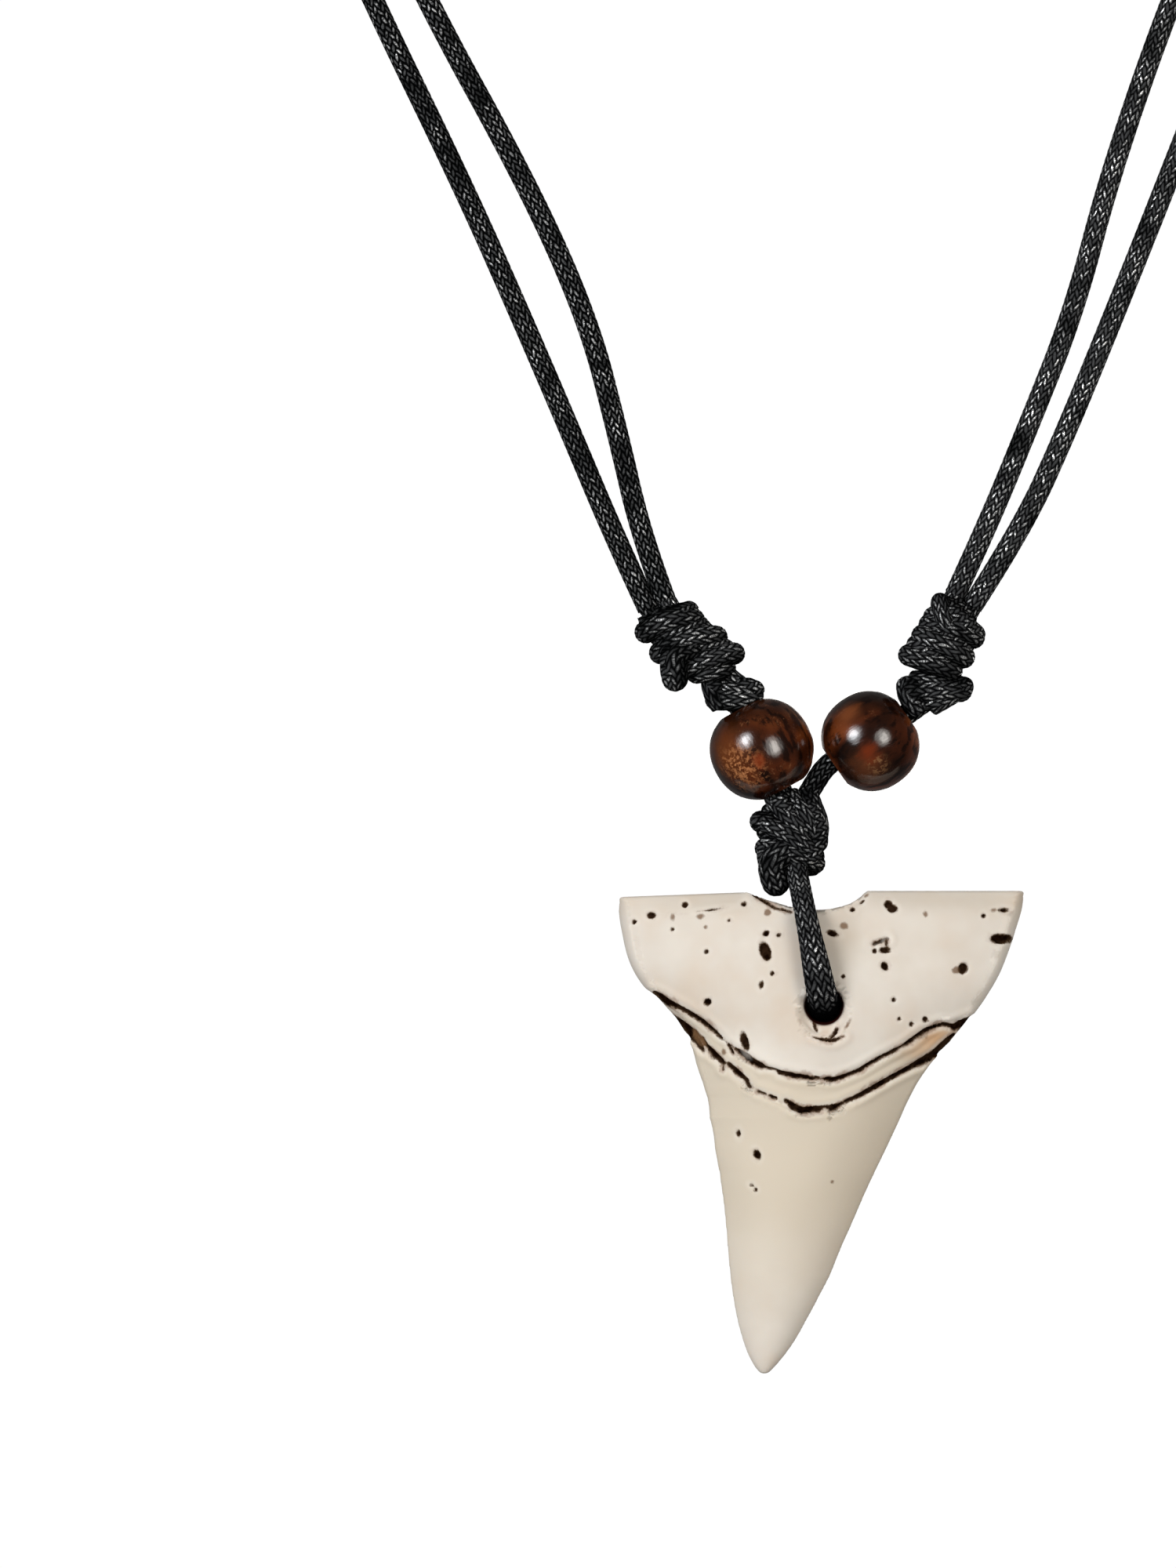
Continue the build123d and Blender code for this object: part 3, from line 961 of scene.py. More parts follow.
@dataclass
class Bead:
    """A turned wooden bead, drilled along its axis for the cord."""

    node: str
    middle: Point
    axis_lean: float
    diameter: float
    length: float
    glows: tuple[Glow, ...]
    bore: float = 2.6
    flat: float = 0.215  # where its flat ends begin, as a share of the diameter
    fullness: float = 2.2  # 2 is an ellipse, more is squarer
    steps: int = 14
    edge: float = 0.25  # of the bevel round its bore

    def profile(self) -> list[tuple[float, float]]:
        """Give the section's outer side.

        Returns:
            Its points, as places out from the axis and along it.
        """
        radius = self.diameter / 2.0
        half = self.length / 2.0
        power = self.fullness
        reach = half / (1.0 - (2.0 * self.flat) ** power) ** (1.0 / power)
        side = []
        for number in range(-self.steps, self.steps + 1):
            along = half * sin(number / self.steps * pi / 2.0)
            side.append((radius * (1.0 - abs(along / reach) ** power) ** (1.0 / power), along))
        return side

    def build(self) -> None:
        """Spin the section round the bead's axis."""
        bore = self.bore / 2.0
        half = self.length / 2.0
        outline = [(bore, -half + self.edge), (bore + self.edge, -half), *self.profile(),
                   (bore + self.edge, half), (bore, half - self.edge)]
        axis = lean(self.axis_lean)
        middle = Vector(self.middle)
        corners = [(middle - BACKWARD * out + axis * along) * MM for out, along in outline]
        count = len(corners)
        mesh = bpy.data.meshes.new(self.node)
        mesh.from_pydata(corners, [(n, (n + 1) % count) for n in range(count)], [])
        piece = add_object(f"{self.node}_wood", mesh)
        select(piece)
        bpy.ops.object.mode_set(mode="EDIT")
        bpy.ops.mesh.select_all(action="SELECT")
        bpy.ops.mesh.spin(steps=72, angle=2.0 * pi, center=middle * MM, axis=axis)
        bpy.ops.mesh.select_all(action="SELECT")
        bpy.ops.mesh.remove_doubles(threshold=MERGE_GAP)
        bpy.ops.mesh.normals_make_consistent(inside=False)
        bpy.ops.object.mode_set(mode="OBJECT")
        rounding = piece.modifiers.new("rounding", "SUBSURF")
        rounding.levels = 1
        rounding.render_levels = 1
        bpy.ops.object.modifier_apply(modifier=rounding.name)
        bpy.ops.object.shade_smooth()
        finish = LacqueredWoodFinish(f"{self.node}_wood", tuple(axis), tuple(middle * MM), self.glows)
        dress(piece, finish.material(), NECKLACE_BODY, self.node)


# Tooth

Mark = tuple[float, float, float, float, float]
Stroke = tuple[tuple[float, float, float], ...]
TICK = 1.0 / 14.0  # the unit of the marks on the tooth, in millimetres
WIDTH_TICKS = 515.0  # the tooth's width
FAR = 9.0  # a distance from all marks

# Pits on the front: across from the tooth's left end, down from its top, width, height, tilt.
PITS: tuple[Mark, ...] = (
    (19, 34, 7, 7, 0), (41, 26, 12, 9, 0), (68, 45, 5, 5, 0), (84, 13, 8, 8, 0),
    (116, 21, 20, 2.5, -6), (140, 35, 4, 4, 0), (159, 15, 7, 6, 0), (187, 53, 9, 7, -30),
    (203, 55, 6, 5, 0), (186, 75, 14, 25, -20), (195, 103, 6, 6, 0), (181, 118, 6, 10, 10),
    (111, 75, 6, 6, 0), (114, 140, 10, 10, 0), (271, 52, 15, 8, 15), (285, 107, 5, 5, 0),
    (297, 20, 7, 6, 0), (309, 11, 7, 4, -30), (343, 17, 11, 10, 0), (348, 22, 14, 11, 10),
    (340, 66, 4, 12, 0), (338, 74, 16, 8, 5), (325, 75, 6, 6, 0), (338, 94, 9, 12, -25),
    (438, 97, 13, 15, 20), (486, 60, 29, 13, 0), (464, 31, 6, 6, 0), (490, 24, 14, 6, 0),
    (350, 137, 6, 6, 0), (356, 161, 5, 5, 0), (371, 168, 6, 6, 0), (389, 162, 8, 7, 0),
    (161, 190, 10, 24, -12), (155, 307, 5, 8, 0), (176, 334, 9, 13, -10), (168, 373, 5, 4, 20),
    (173, 379, 5, 5, 0),
)

# Faint brown marks, the same way.
FAINT_MARKS: tuple[Mark, ...] = (
    (68, 29, 6, 9, 0), (103, 29, 10, 7, 0), (110, 43, 6, 5, 0), (189, 27, 9, 9, 0),
    (286, 42, 11, 9, 0), (390, 29, 6, 8, 0), (429, 99, 12, 9, 0), (477, 24, 8, 5, 0),
    (270, 369, 5, 5, 0), (134, 203, 6, 9, 0), (315, 5, 6, 5, 0), (291, 168, 4, 12, 35),
    (103, 186, 12, 26, -28),
)

# Lines: across, down, thickness at each of their points.
ROOT_LINE: Stroke = (
    (44, 127, 3), (54, 133, 7), (66, 141, 8), (80, 147, 6), (90, 152, 6), (110, 165, 6),
    (122, 175, 5), (132, 185, 4), (136, 189, 1), (146, 197, 2), (151, 201, 5), (160, 207, 8),
    (168, 214, 8), (180, 221, 8), (186, 223, 3), (199, 226, 3), (205, 230, 6), (225, 234, 7),
    (245, 236, 6), (258, 237, 3), (264, 238, 6), (275, 238, 6), (290, 233, 5), (307, 226, 5),
    (334, 209, 5), (350, 200, 5), (355, 197, 2), (365, 192, 5), (388, 176, 5), (400, 171, 5),
    (410, 168, 5), (420, 170, 6), (425, 172, 9), (432, 168, 10), (438, 164, 7), (445, 160, 4),
)
BAND_STROKES: tuple[Stroke, ...] = (
    ((64, 151, 2), (74, 159, 5), (84, 167, 7), (92, 175, 10), (98, 185, 10), (103, 195, 8),
     (107, 203, 3)),
    ((98, 175, 3), (104, 184, 4), (110, 193, 3)),
    ((108, 186, 5), (112, 195, 5), (120, 206, 9), (130, 215, 7), (134, 218, 3)),
    ((131, 216, 4), (131, 226, 2)),
    ((139, 219, 6), (149, 229, 8), (160, 239, 6), (165, 248, 4)),
    ((141, 195, 4), (145, 205, 3)),
    ((176, 254, 4), (185, 257, 3)),
    ((191, 259, 4), (199, 262, 4)),
    ((212, 265, 5), (222, 273, 9), (235, 277, 9), (255, 276, 9), (262, 273, 4), (270, 274, 8),
     (276, 273, 7), (285, 268, 5), (308, 258, 6), (330, 246, 6), (360, 229, 6), (375, 221, 7),
     (386, 215, 10), (396, 209, 12), (407, 198, 10), (416, 188, 6), (424, 181, 4)),
    ((172, 5, 3), (185, 13, 4), (198, 21, 4), (210, 23, 3), (219, 25, 3)),
    ((247, 166, 3), (249, 171, 4), (252, 177, 3)),
    ((244, 183, 1), (250, 185, 2), (258, 187, 4), (266, 188, 5), (274, 188, 5), (281, 185, 3),
     (286, 183, 1)),
    ((277, 174, 4), (275, 178, 5), (269, 186, 4)),
    ((324, 66, 5), (332, 63, 5), (341, 60, 5)),
)

# Where the outline leaves the solid's: down, to the right on the left side and on the right side.
OUTLINE_SHIFTS: tuple[tuple[float, float, float], ...] = (
    (0, -6, 6), (7, -1, 1), (16, 0, 0), (60, 0, 2), (127, 0, 0), (147, -4, 1), (167, -4, 3),
    (187, -3, 3), (200, 0, 5), (215, 1, 0), (242, 4, -2), (262, 3, -2), (273, 0, -2), (288, -5, -1),
    (305, -5, 0), (325, -3, 2), (340, 0, 3), (357, 2, 3), (388, 1, 2), (420, -1, 2), (452, -2, 2),
    (490, -2, 4), (515, -2, 2), (548, -2, 0), (600, 0, 0),
)

# Where the top's edge leaves the solid's: across, down.
TOP_SHIFTS: tuple[tuple[float, float], ...] = (
    (0, 6), (80, 3), (158, 0), (175, -2), (200, -2), (220, 0), (280, 0), (292, 2), (308, 2),
    (316, -2), (515, -2),
)

# Warm shading: across, down, reach across, reach down, strength.
WARM_PATCHES: tuple[Mark, ...] = (
    (402, 185, 34, 16, 0.75), (375, 205, 30, 12, 0.4), (432, 108, 30, 26, 0.16),
    (305, 40, 42, 30, 0.14), (267, 150, 30, 34, 0.2), (260, 186, 34, 10, 0.3),
    (330, 330, 60, 120, 0.10), (250, 480, 60, 110, 0.08), (90, 180, 22, 26, 0.22),
    (215, 247, 70, 9, 0.10), (420, 90, 90, 60, 0.08),
)

# Painted shade: a painted shadow right of the loop beside the hole, and painted shade along the top's
# edge and at the band's right end, the same way.
PAINTED_SHADE_PATCHES: tuple[Mark, ...] = (
    (288, 62, 20, 42, 0.36), (60, 14, 90, 12, 0.12), (140, 12, 60, 14, 0.24),
    (330, 10, 60, 12, 0.15), (440, 12, 90, 16, 0.30), (368, 212, 32, 10, 0.14),
)


@dataclass
class Tooth:
    """The pendant tooth, its worn surface, lines and pits."""

    left: float = -17.583
    top: float = -176.378
    hole: tuple[float, float] = (1.067, -186.728)
    hole_radius: float = 1.825
    voxel: float = 0.17
    pit_depth: float = 0.35
    line_depth: float = 0.16
    lip: float = 0.10
    waist: float = 0.48  # how much narrower the hole is halfway through
    half_depth: float = 4.3  # of the hole
    swell: float = 0.05  # of the low waves all over it

    def build(self, source: bpy.types.Object) -> None:
        """Dress a copy of the tooth's solid with finer relief.

        Args:
            source: The tooth's solid.
        """
        piece = add_object("tooth_cast", source.data.copy())
        refine(piece, self.voxel, 9)
        self.wear(piece.data)
        bpy.ops.object.shade_smooth()
        dress(piece, ToothFinish().material(), TOOTH_BODY, "tooth")

    @staticmethod
    def mark_gap(across: np.ndarray, down: np.ndarray, marks: Sequence[Mark]) -> np.ndarray:
        """Measure how far each point is outside the nearest mark, in millimetres.

        Args:
            across: The points' places across the tooth.
            down: Their places down from its top.
            marks: The marks.

        Returns:
            The distances, below nought inside a mark.
        """
        gap = np.full(len(across), FAR)
        for mark_across, mark_down, wide, high, tilt in marks:
            dx = across - mark_across * TICK
            dz = down - mark_down * TICK
            turned_x = dx * cos(radians(tilt)) + dz * sin(radians(tilt))
            turned_z = -dx * sin(radians(tilt)) + dz * cos(radians(tilt))
            half_wide = wide * TICK / 2.0
            half_high = high * TICK / 2.0
            reach = np.hypot(turned_x / half_wide, turned_z / half_high)
            gap = np.minimum(gap, (reach - 1.0) * min(half_wide, half_high))
        return gap

    @staticmethod
    def stroke_gap(across: np.ndarray, down: np.ndarray, *strokes: Stroke) -> np.ndarray:
        """Measure how far each point is outside the nearest stroke, in millimetres.

        Args:
            across: The points' places across the tooth.
            down: Their places down from its top.
            strokes: The strokes.

        Returns:
            The distances, below nought inside a stroke.
        """
        gap = np.full(len(across), FAR)
        for stroke in strokes:
            for begin, finish in zip(stroke, stroke[1:]):
                x0, z0, t0 = (value * TICK for value in begin)
                x1, z1, t1 = (value * TICK for value in finish)
                span = max((x1 - x0) ** 2 + (z1 - z0) ** 2, 1e-9)
                share = ((across - x0) * (x1 - x0) + (down - z0) * (z1 - z0)) / span
                share = np.clip(share, 0.0, 1.0)
                away = np.hypot(across - x0 - share * (x1 - x0), down - z0 - share * (z1 - z0))
                gap = np.minimum(gap, away - (t0 + share * (t1 - t0)) / 2.0)
        return gap

    @staticmethod
    def patch_share(across: np.ndarray, down: np.ndarray, patches: Sequence[Mark]) -> np.ndarray:
        """Add up how strong soft-edged patches are at each point.

        Args:
            across: The points' places across the tooth.
            down: Their places down from its top.
            patches: The patches.

        Returns:
            The strengths, 1 at the most.
        """
        total = np.zeros(len(across))
        for mark_across, mark_down, wide, high, strength in patches:
            reach = ((across - mark_across * TICK) / (wide * TICK)) ** 2
            reach += ((down - mark_down * TICK) / (high * TICK)) ** 2
            total += strength * np.exp(-reach)
        return np.clip(total, 0.0, 1.0)

    def wear(self, mesh: bpy.types.Mesh) -> None:
        """Press the pits and lines into the surface and note where they are.

        Args:
            mesh: The tooth's fine mesh.
        """
        spots = read_vectors(mesh.vertices, "co")
        normals = read_vectors(mesh.vertices, "normal")
        across = spots[:, 0] / MM - self.left
        down = self.top - spots[:, 2] / MM
        marked = np.where(spots[:, 1] > 0.0, WIDTH_TICKS * TICK - across, across)
        pits = self.mark_gap(marked, down, PITS)
        faint = self.mark_gap(marked, down, FAINT_MARKS)
        lines = self.stroke_gap(across, down, ROOT_LINE, *BAND_STROKES)
        hole_gap = np.hypot(spots[:, 0] / MM - self.hole[0], spots[:, 2] / MM - self.hole[1])
        facing = np.clip((np.abs(normals[:, 1]) - 0.2) / 0.4, 0.0, 1.0)
        facing *= np.clip((hole_gap - self.hole_radius - 0.3) / 0.4, 0.0, 1.0)

        sink = self.pit_depth * self.dish(pits, 0.25)
        sink = np.maximum(sink, self.line_depth * self.dish(lines, 0.15))
        sink -= self.lip * np.exp(-((lines - 0.45) / 0.3) ** 2)
        sink += self.swell * np.sin(across * 0.9 + 1.3) * np.sin(down * 0.55 + 0.4)
        spots -= normals * (sink * facing)[:, None] * MM
        spots += self.outline_moves(across, down) * MM

        depth = np.abs(spots[:, 1]) / MM
        inward = self.waist * np.clip(1.0 - (depth / self.half_depth) ** 2, 0.0, 1.0)
        inward *= np.clip((self.hole_radius + 0.45 - hole_gap) / 0.35, 0.0, 1.0)
        around = spots[:, ::2].T - np.array(self.hole)[:, None] * MM
        around /= np.maximum(np.hypot(*around), 1e-9)
        spots[:, ::2] -= (around * inward * MM).T
        mesh.vertices.foreach_set("co", spots.astype(np.float32).ravel())

        # painted shade: the hole's wall, for the finish to paint dark
        bore = np.clip((self.hole_radius + 0.12 - hole_gap) / 0.1, 0.0, 1.0)
        bore *= np.clip((self.half_depth + 0.05 - depth) / 0.3, 0.0, 1.0)
        root_line = np.array(ROOT_LINE) * TICK
        edge = np.interp(across, root_line[:, 0], root_line[:, 1])
        crown = np.clip((down - edge) / 0.4, 0.0, 1.0) * np.clip((42.0 - down) / 14.0, 0.0, 1.0)
        note_values(
            mesh,
            warmth=self.patch_share(across, down, WARM_PATCHES),
            dust=self.patch_share(across, down, PAINTED_SHADE_PATCHES),
            pit_gap=pits, faint_gap=faint, line_gap=lines, bore=bore, crown=crown,
        )
        mesh.update()

    @staticmethod
    def outline_moves(across: np.ndarray, down: np.ndarray) -> np.ndarray:
        """Give small moves that bring the solid's outline to that of the worn tooth.

        Args:
            across: The points' places across the tooth.
            down: Their places down from its top.

        Returns:
            How far each point moves, in millimetres.
        """
        rows = np.floor(down * 2.0).astype(int) - int(np.floor(down.min() * 2.0))
        left = np.full(rows.max() + 1, 99.0)
        right = np.full(rows.max() + 1, -99.0)
        np.minimum.at(left, rows, across)
        np.maximum.at(right, rows, across)
        share = (across - left[rows]) / np.maximum(right[rows] - left[rows], 0.5)
        shifts = np.array(OUTLINE_SHIFTS) * TICK
        moves = np.zeros((len(across), 3))
        moves[:, 0] = np.interp(down, shifts[:, 0], shifts[:, 1]) * (1.0 - share) ** 3
        moves[:, 0] += np.interp(down, shifts[:, 0], shifts[:, 2]) * share ** 3
        rims = np.array(TOP_SHIFTS) * TICK
        moves[:, 2] = -np.interp(across, rims[:, 0], rims[:, 1]) * np.clip(1.0 - down / 7.0, 0.0, 1.0)
        return moves

    @staticmethod
    def dish(gap: np.ndarray, wall: float) -> np.ndarray:
        """Give 1 well inside a mark and 0 outside it, with a sloping wall."""
        share = np.clip((0.05 - gap) / wall, 0.0, 1.0)
        return share * share * (3.0 - 2.0 * share)


# Studio


@dataclass(frozen=True)
class SoftBox:
    """An even, oval light that is turned to the pendant."""

    name: str
    around: float  # degrees to the right of the camera, seen from the pendant
    above: float  # degrees above the pendant
    distance: float
    width: float
    height: float
    power: float
    tint: tuple[float, float, float]

    def place(self, target: Vector) -> None:
        """Set the light up.

        Args:
            target: What it is turned to.
        """
        data = bpy.data.lights.new(self.name, "AREA")
        data.shape = "ELLIPSE"
        data.size = self.width
        data.size_y = self.height
        data.energy = self.power
        data.color = self.tint
        light = add_object(self.name, data)
        level = cos(radians(self.above)) * self.distance
        light.location = target + Vector((
            sin(radians(self.around)) * level,
            -cos(radians(self.around)) * level,
            sin(radians(self.above)) * self.distance,
        ))
        light.rotation_euler = (target - light.location).to_track_quat("-Z", "Y").to_euler()


COOL = (0.95, 0.97, 1.0)
WARM = (1.0, 0.96, 0.9)
LIGHTS: tuple[SoftBox, ...] = (
    SoftBox("left_window", -38.0, 15.0, 1.2, 0.72, 0.8, 5.0, COOL),
    SoftBox("left_lamp", -38.0, 15.0, 1.18, 0.4, 0.44, 4.6, COOL),
    SoftBox("right_window", 26.0, 6.0, 1.2, 0.78, 0.8, 3.4, WARM),
    SoftBox("right_lamp", 26.0, 6.0, 1.18, 0.42, 0.46, 2.4, WARM),
    SoftBox("back_window", 172.0, 6.0, 1.2, 0.8, 0.8, 5.5, (1.0, 0.98, 0.95)),
)


@dataclass
class Studio:
    """The camera, lights, floor and white surroundings, measured in metres."""

    frame_middle: Point = (-0.02043, 0.0, -0.1665)
    frame_height: float = 0.14286
    target: Point = (-0.002, 0.0, -0.172)  # what the lights are turned to
    camera_distance: float = 4.5
    sensor: float = 36.0  # in millimetres
    white: float = 1.02  # the background's strength, as the camera sees it
    ambient: float = 0.3
    front_mirror: float = 0.04
    back_mirror: float = 0.16
    floor_height: float = -0.2455
    floor_half: float = 0.45

    def build(self) -> None:
        """Set up the camera first, then everything round the necklace."""
        scene = bpy.context.scene
        data = bpy.data.cameras.new("camera")
        data.sensor_width = self.sensor
        data.lens = self.sensor * self.camera_distance / self.frame_height
        data.clip_end = 50.0
        scene.camera = add_object("camera", data)
        scene.camera.location = Vector(self.frame_middle) - BACKWARD * self.camera_distance
        scene.camera.rotation_euler = (pi / 2.0, 0.0, 0.0)
        scene.view_settings.view_transform = "Standard"
        for light in LIGHTS:
            light.place(Vector(self.target))
        self.surroundings()
        self.floor()

    def surroundings(self) -> None:
        """Show white behind the necklace and light it softly from all round."""
        world = bpy.data.worlds.new("white_room")
        bpy.context.scene.world = world
        board = NodeBoard(world)
        behind = board.tree.nodes["Background"]
        board.fill(behind, {"Color": (1.0, 1.0, 1.0, 1.0), "Strength": self.white})
        path = board.add("LightPath", {}).outputs
        place = board.add("TexCoord", {}).outputs["Generated"]
        mirrored = board.add("MapRange", {
            "Value": board.add("SeparateXYZ", {"Vector": place}).outputs["Y"],
            "From Min": 0.1, "From Max": 0.8,
            "To Min": self.front_mirror, "To Max": self.back_mirror,
        }).outputs["Result"]
        mirror = board.add("Background", {"Strength": mirrored})
        around = board.add("Background", {"Color": (1.0, 0.99, 0.97, 1.0), "Strength": self.ambient})
        unseen = board.add("MixShader", {
            0: path["Is Glossy Ray"], 1: around.outputs[0], 2: mirror.outputs[0],
        })
        either = board.add("MixShader", {
            0: path["Is Camera Ray"], 1: unseen.outputs[0], 2: behind.outputs[0],
        })
        board.fill(board.tree.nodes["World Output"], {"Surface": either.outputs[0]})

    def floor(self) -> None:
        """Lay a plain pale floor under the necklace."""
        deselect_all()
        bpy.ops.mesh.primitive_plane_add(size=2.0 * self.floor_half,
                                         location=(0.0, 0.0, self.floor_height))
        floor = bpy.context.active_object
        floor.name = "floor"
        floor.visible_glossy = False
        floor.visible_diffuse = False
        board = SurfaceBoard("floor")
        grain = board.noise(900.0, 2.0)
        floor.data.materials.append(board.surface(
            Base_Color=board.ramp(grain, ((0.3, (0.86, 0.86, 0.855)), (0.7, (0.9, 0.9, 0.895)))),
            Roughness=0.8,
            Emission_Color=(1.0, 1.0, 0.995, 1.0),
            Emission_Strength=0.35,
        ))


# The necklace

OUTER_CORNERS: tuple[Point, ...] = (
    (-14.95, 0.0, -150.55), (-18.0, 0.0, -144.0), (-21.9, 0.0, -134.7), (-26.4, 0.0, -124.2),
    (-31.9, 0.0, -111.8), (-40.6, 0.1, -94.0), (-50.6, 0.3, -71.5), (-57.0, 0.6, -45.0),
    (-47.0, 1.0, -16.6), (-18.2, 1.25, 1.0), (18.2, 1.25, 1.0), (46.5, 1.0, -16.8),
    (55.4, 0.6, -45.0), (48.6, 0.3, -71.0), (39.4, 0.1, -93.5), (32.2, 0.0, -112.0),
    (27.6, 0.0, -123.5), (23.1, 0.0, -134.5), (19.15, 0.0, -143.2), (14.55, 0.0, -150.31),
)
INNER_CORNERS: tuple[Point, ...] = (
    (-13.38, 0.0, -149.73), (-15.55, 0.0, -144.0), (-17.75, 0.0, -134.4), (-20.35, 0.0, -124.4),
    (-25.75, 0.0, -112.2), (-35.8, -0.1, -94.0), (-46.2, -0.3, -71.5), (-52.6, -0.6, -45.0),
    (-43.2, -1.0, -16.6), (-16.7, -1.25, 1.0), (16.7, -1.25, 1.0), (42.6, -1.0, -17.0),
    (50.0, -0.6, -45.5), (42.8, -0.3, -71.0), (33.2, -0.1, -93.5), (27.25, 0.0, -110.5),
    (23.85, 0.0, -123.5), (19.45, 0.0, -134.5), (15.85, 0.0, -143.2), (13.02, 0.0, -149.28),
)

LOOP_LEAN = 168.6
KNOT_MIDDLE: Point = (-2.0, 0.0, -171.5)


def loop_corner(depth: float, reach: float) -> Point:
    """Give a corner of the pendant loop at this depth, so far below the centre knot."""
    way = lean(LOOP_LEAN) * reach
    return (KNOT_MIDDLE[0] + way.x, depth, KNOT_MIDDLE[2] + way.z)


NECK_STRANDS: tuple[NeckStrand, ...] = (
    NeckStrand("neck_cord_outer", OUTER_CORNERS, 385.0, 1),
    NeckStrand("neck_cord_inner", INNER_CORNERS, 374.0, 2),
)

# The pendant loop's front half: depth, and reach below the centre knot.
LOOP_FRONT = ((-1.5, 2.4), (-2.3, 4.4), (-5.3, 7.0), (-5.75, 11.0), (-5.95, 13.5), (-4.8, 14.7),
              (-2.8, 15.53))
LOOP_CORNERS = tuple(loop_corner(depth, reach) for depth, reach in (
    *LOOP_FRONT, (0.0, 15.53), *((-depth, reach) for depth, reach in reversed(LOOP_FRONT)),
))
LOOP_HALF_WIDTHS = ((1.0, 1.0), (1.0, 1.0), (1.02, 1.0), (1.12, 1.0), (1.30, 1.0), (1.42, 1.0),
                    (1.50, 1.50), (1.32, 1.32))
SHORT_CORDS: tuple[ShortCord, ...] = (
    ShortCord("pendant_loop", LOOP_CORNERS, lean(LOOP_LEAN - 90.0),
              (*LOOP_HALF_WIDTHS, *LOOP_HALF_WIDTHS[-2::-1]), 5.6),
    ShortCord("left_bead_cord", ((-2.2, 0.0, -168.6), (-2.45, 0.0, -167.4), (-7.2, 0.0, -158.5))),
    ShortCord("right_bead_cord", ((-1.2, 0.0, -168.9), (0.0, 0.0, -166.7), (1.55, 0.0, -164.4),
                                  (5.34, 0.0, -162.56), (10.5, 0.0, -158.8))),
)

BEADS: tuple[Bead, ...] = (
    Bead("left_bead", (-4.56, 0.0, -163.30), -28.3, 9.55, 8.36, (
        Glow((-7.4, -3.2, -163.6), 3.4, (0.15, 0.040, 0.010)),
        # painted shade: the next two darken the bead's right side, low and high
        Glow((-1.6, -3.0, -166.2), 2.3, (0.007, 0.0028, 0.0016)),
        Glow((-1.4, -3.2, -161.2), 1.6, (0.022, 0.0050, 0.0018)),
        Glow((-6.4, -4.1, -165.0), 3.1, (0.50, 0.20, 0.075), True),
        Glow((-4.9, -4.6, -164.3), 1.15, (0.20, 0.034, 0.008)),
    )),
    Bead("right_bead", (5.34, 0.0, -162.56), 55.0, 9.212, 8.036, (
        Glow((3.2, -3.2, -160.1), 1.8, (0.18, 0.050, 0.015)),
        Glow((4.9, -4.2, -165.0), 2.8, (0.105, 0.031, 0.011)),
        Glow((5.1, -4.5, -163.6), 1.5, (0.16, 0.024, 0.005)),
        Glow((6.0, -4.2, -165.1), 1.5, (0.26, 0.13, 0.055), True),
    )),
)

CENTRE_KNOT = Knot(
    "centre_knot", KNOT_MIDDLE,
    wraps=(
        Wrap((-1.36, 0.79), (1.07, -0.79), 0.95, 1.02, 0.2),
        Wrap((-1.14, -0.43), (1.11, -1.11), 0.90, 1.00, 0.1),
        Wrap((-0.80, 1.15), (0.95, 0.45), 0.62, 1.00, 0.1),
    ),
    bights=(
        Bight(((-0.79, 0.0, 2.14), (-0.57, -0.50, 1.57), (-0.14, -0.80, 0.96),
               (0.36, -0.80, 0.43), (0.75, -0.40, -0.1))),
        Bight(((0.75, 0.0, 2.10), (0.92, -0.25, 1.57), (1.26, -0.30, 0.79),
               (1.25, -0.25, 0.07), (0.93, 0.1, -0.43))),
        Bight(((0.0, -0.1, 1.95), (0.43, -0.60, 1.43), (0.86, -0.70, 0.71),
               (1.10, -0.40, 0.0)), 0.98),
        Bight(((-0.1, -0.6, -0.50), (-0.70, -1.05, -0.85), (-0.90, -0.85, -1.45),
               (-0.42, -0.60, -2.56)), 1.34, End.CUT),
    ),
)
LEFT_STOPPER = Knot(
    "left_stopper_knot", (-7.05, 0.0, -157.88), axis_lean=-28.0,
    core_shift=(-0.15, 0.0, -0.19),
    wraps=(Wrap((-0.86, -0.45), (0.82, -0.46), 0.62, 1.05),),
    bights=(
        Bight(((-0.95, 0.0, 1.05), (-0.15, -0.15, 0.35), (0.80, -0.05, -0.30))),
        Bight(((-1.02, 0.1, 0.50), (-1.06, -0.60, -0.10), (-0.60, -0.45, -0.72)), 1.08),
        Bight(((-0.60, -0.35, 0.05), (0.35, -0.72, -0.20), (0.98, -0.10, -0.30)), 1.02),
    ),
)
RIGHT_STOPPER = Knot(
    "right_stopper_knot", (11.341, 0.0, -158.356), axis_lean=30.0,
    wraps=(Wrap((-1.15, 0.02), (1.10, 0.20), 0.60, 1.10),),
    bights=(
        Bight(((0.15, 0.0, 1.30), (0.12, -0.1, 0.60), (0.0, 0.0, 0.0)), 1.08),
        Bight(((-1.27, 0.1, 0.42), (-1.30, -0.60, -0.12), (-0.75, -0.35, -0.65)), 1.18),
        Bight(((-1.05, -0.1, 0.62), (-0.36, -0.62, 0.62), (0.50, -0.45, 0.30)), 1.0),
        Bight(((-0.25, -0.30, -0.45), (0.55, -0.70, -0.02), (1.20, -0.10, 0.42)), 1.08),
    ),
)
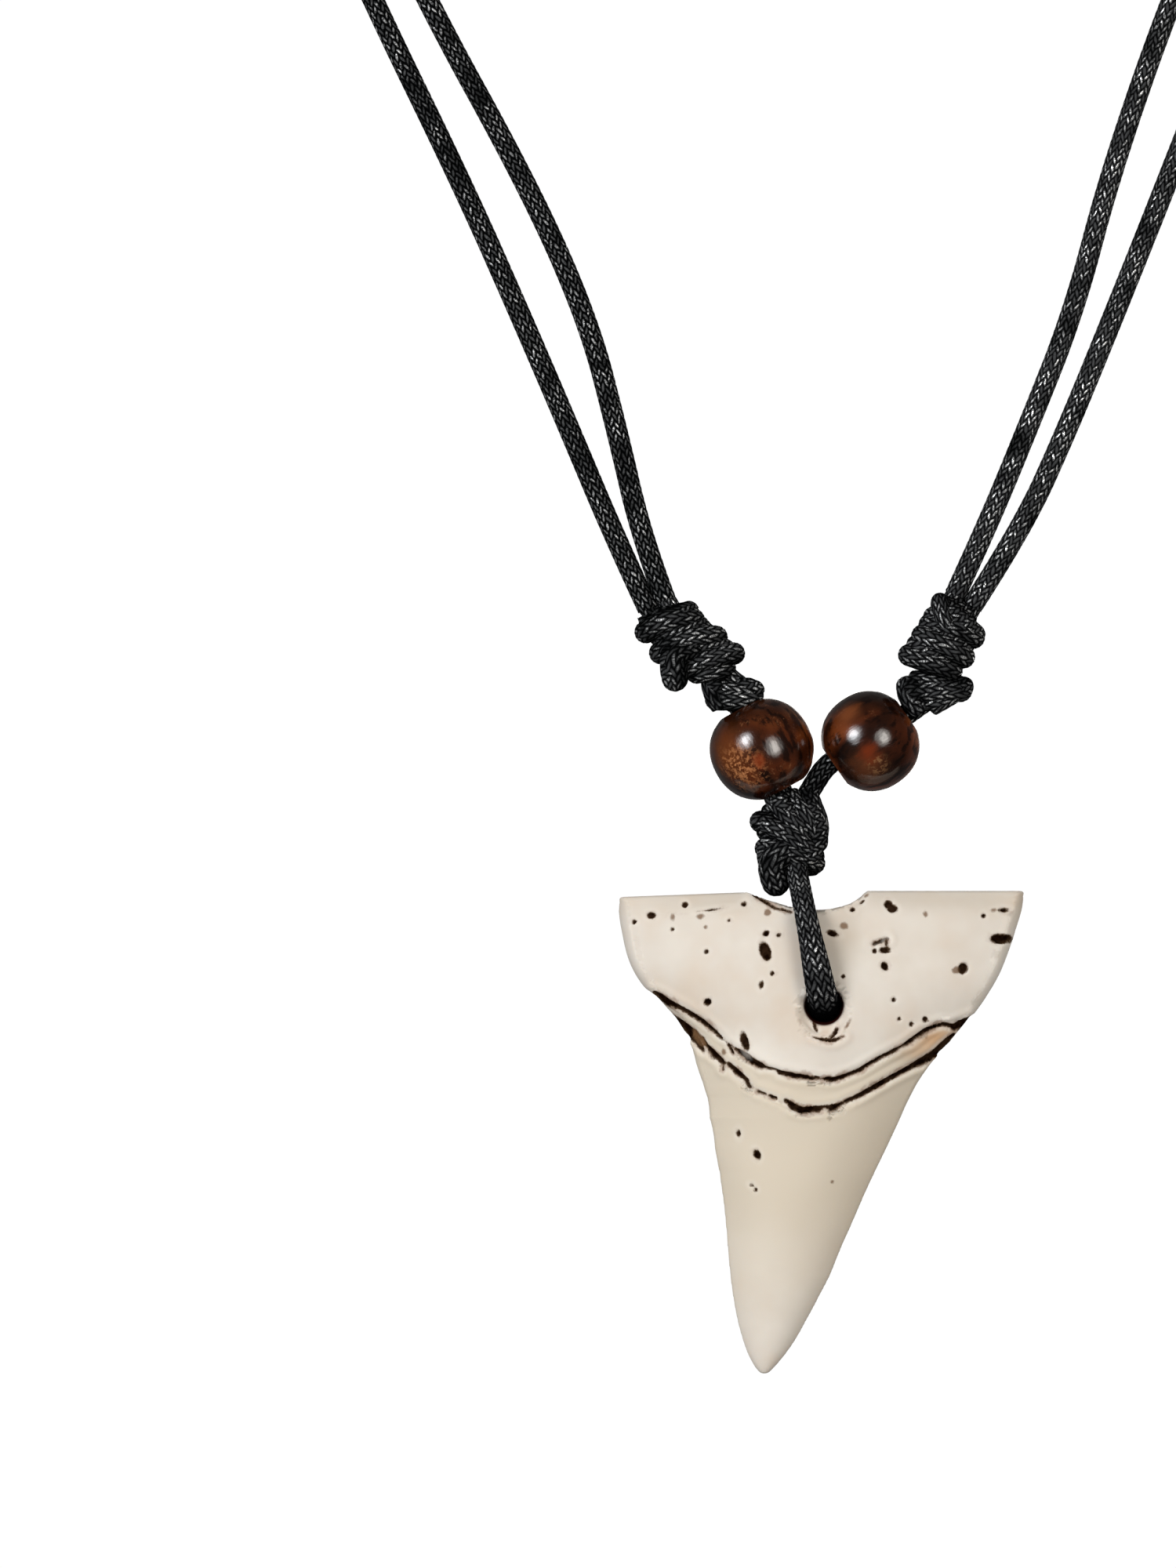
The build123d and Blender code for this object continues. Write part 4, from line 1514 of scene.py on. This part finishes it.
LEFT_SLIDE = Knot(
    "left_slide_knot", (-10.445, 0.0, -153.152), axis_lean=-40.0,
    core_shift=(-0.4, 0.0, -0.35),
    wraps=(
        Wrap((-2.36, 0.25), (-0.18, 0.80), 1.05, 1.06, 0.25),
        Wrap((-1.70, -0.70), (0.86, 0.02), 1.02, 1.06, 0.30),
        Wrap((-0.79, -1.50), (1.66, -0.73), 0.92, 1.04, 0.1),
        Wrap((-0.05, -1.62), (1.27, -1.42), 0.72, 1.00),
    ),
    bights=(
        Bight(((-0.20, -0.7, -0.45), (-1.02, -1.25, -0.75), (-1.08, -1.25, -1.40),
               (-0.98, -0.95, -2.45)), 1.24, End.CUT),
    ),
    strands=(
        ((-15.16, 0.0, -150.1), (-1.4, 0.0, 0.1)),
        ((-13.57, 0.0, -149.3), (-0.7, 0.0, 0.4)),
    ),
)
RIGHT_SLIDE = Knot(
    "right_slide_knot", (11.925, 0.0, -153.149), axis_lean=12.0, painted_crease_shade=0.65,
    wraps=(
        Wrap((-0.43, 0.93), (1.04, 0.46), 0.95, 1.0, 0.1),
        Wrap((-0.61, 0.57), (1.39, 0.0), 1.05, 1.06, 0.2),
        Wrap((-0.93, 0.07), (0.93, -0.89), 1.05, 1.08, 0.1),
        Wrap((-1.55, -0.80), (0.39, -1.50), 0.95, 1.04),
    ),
    bights=(
        Bight(((0.60, -0.8, 0.1), (0.15, -1.25, 0.60), (-0.10, -1.20, 1.20),
               (-0.20, -0.7, 1.98)), 0.86, End.CUT),
    ),
    strands=(
        ((13.24, 0.0, -148.8), (-0.1, 0.0, 0.6)),
        ((14.86, 0.0, -149.8), (0.6, 0.0, 0.2)),
    ),
)
KNOTS = (CENTRE_KNOT, LEFT_STOPPER, RIGHT_STOPPER, LEFT_SLIDE, RIGHT_SLIDE)


def build_necklace(frame: dict) -> None:
    """Make all pieces, the neck strands first.

    Args:
        frame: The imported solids.
    """
    braid = Braid()
    cord_finish = WaxedCordFinish().material()
    for cord in (*NECK_STRANDS, *SHORT_CORDS):
        cord.build(braid, cord_finish)
    for knot in KNOTS:
        knot.build(braid, cord_finish, frame["nodes"][knot.node])
    for bead in BEADS:
        bead.build()
    Tooth().build(frame["nodes"]["tooth"])


def main() -> None:
    """Load the frame, set up the studio and build the necklace."""
    logging.basicConfig(level=logging.INFO, format="%(message)s")
    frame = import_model()
    Studio().build()
    build_necklace(frame)


if __name__ == "__main__":
    main()
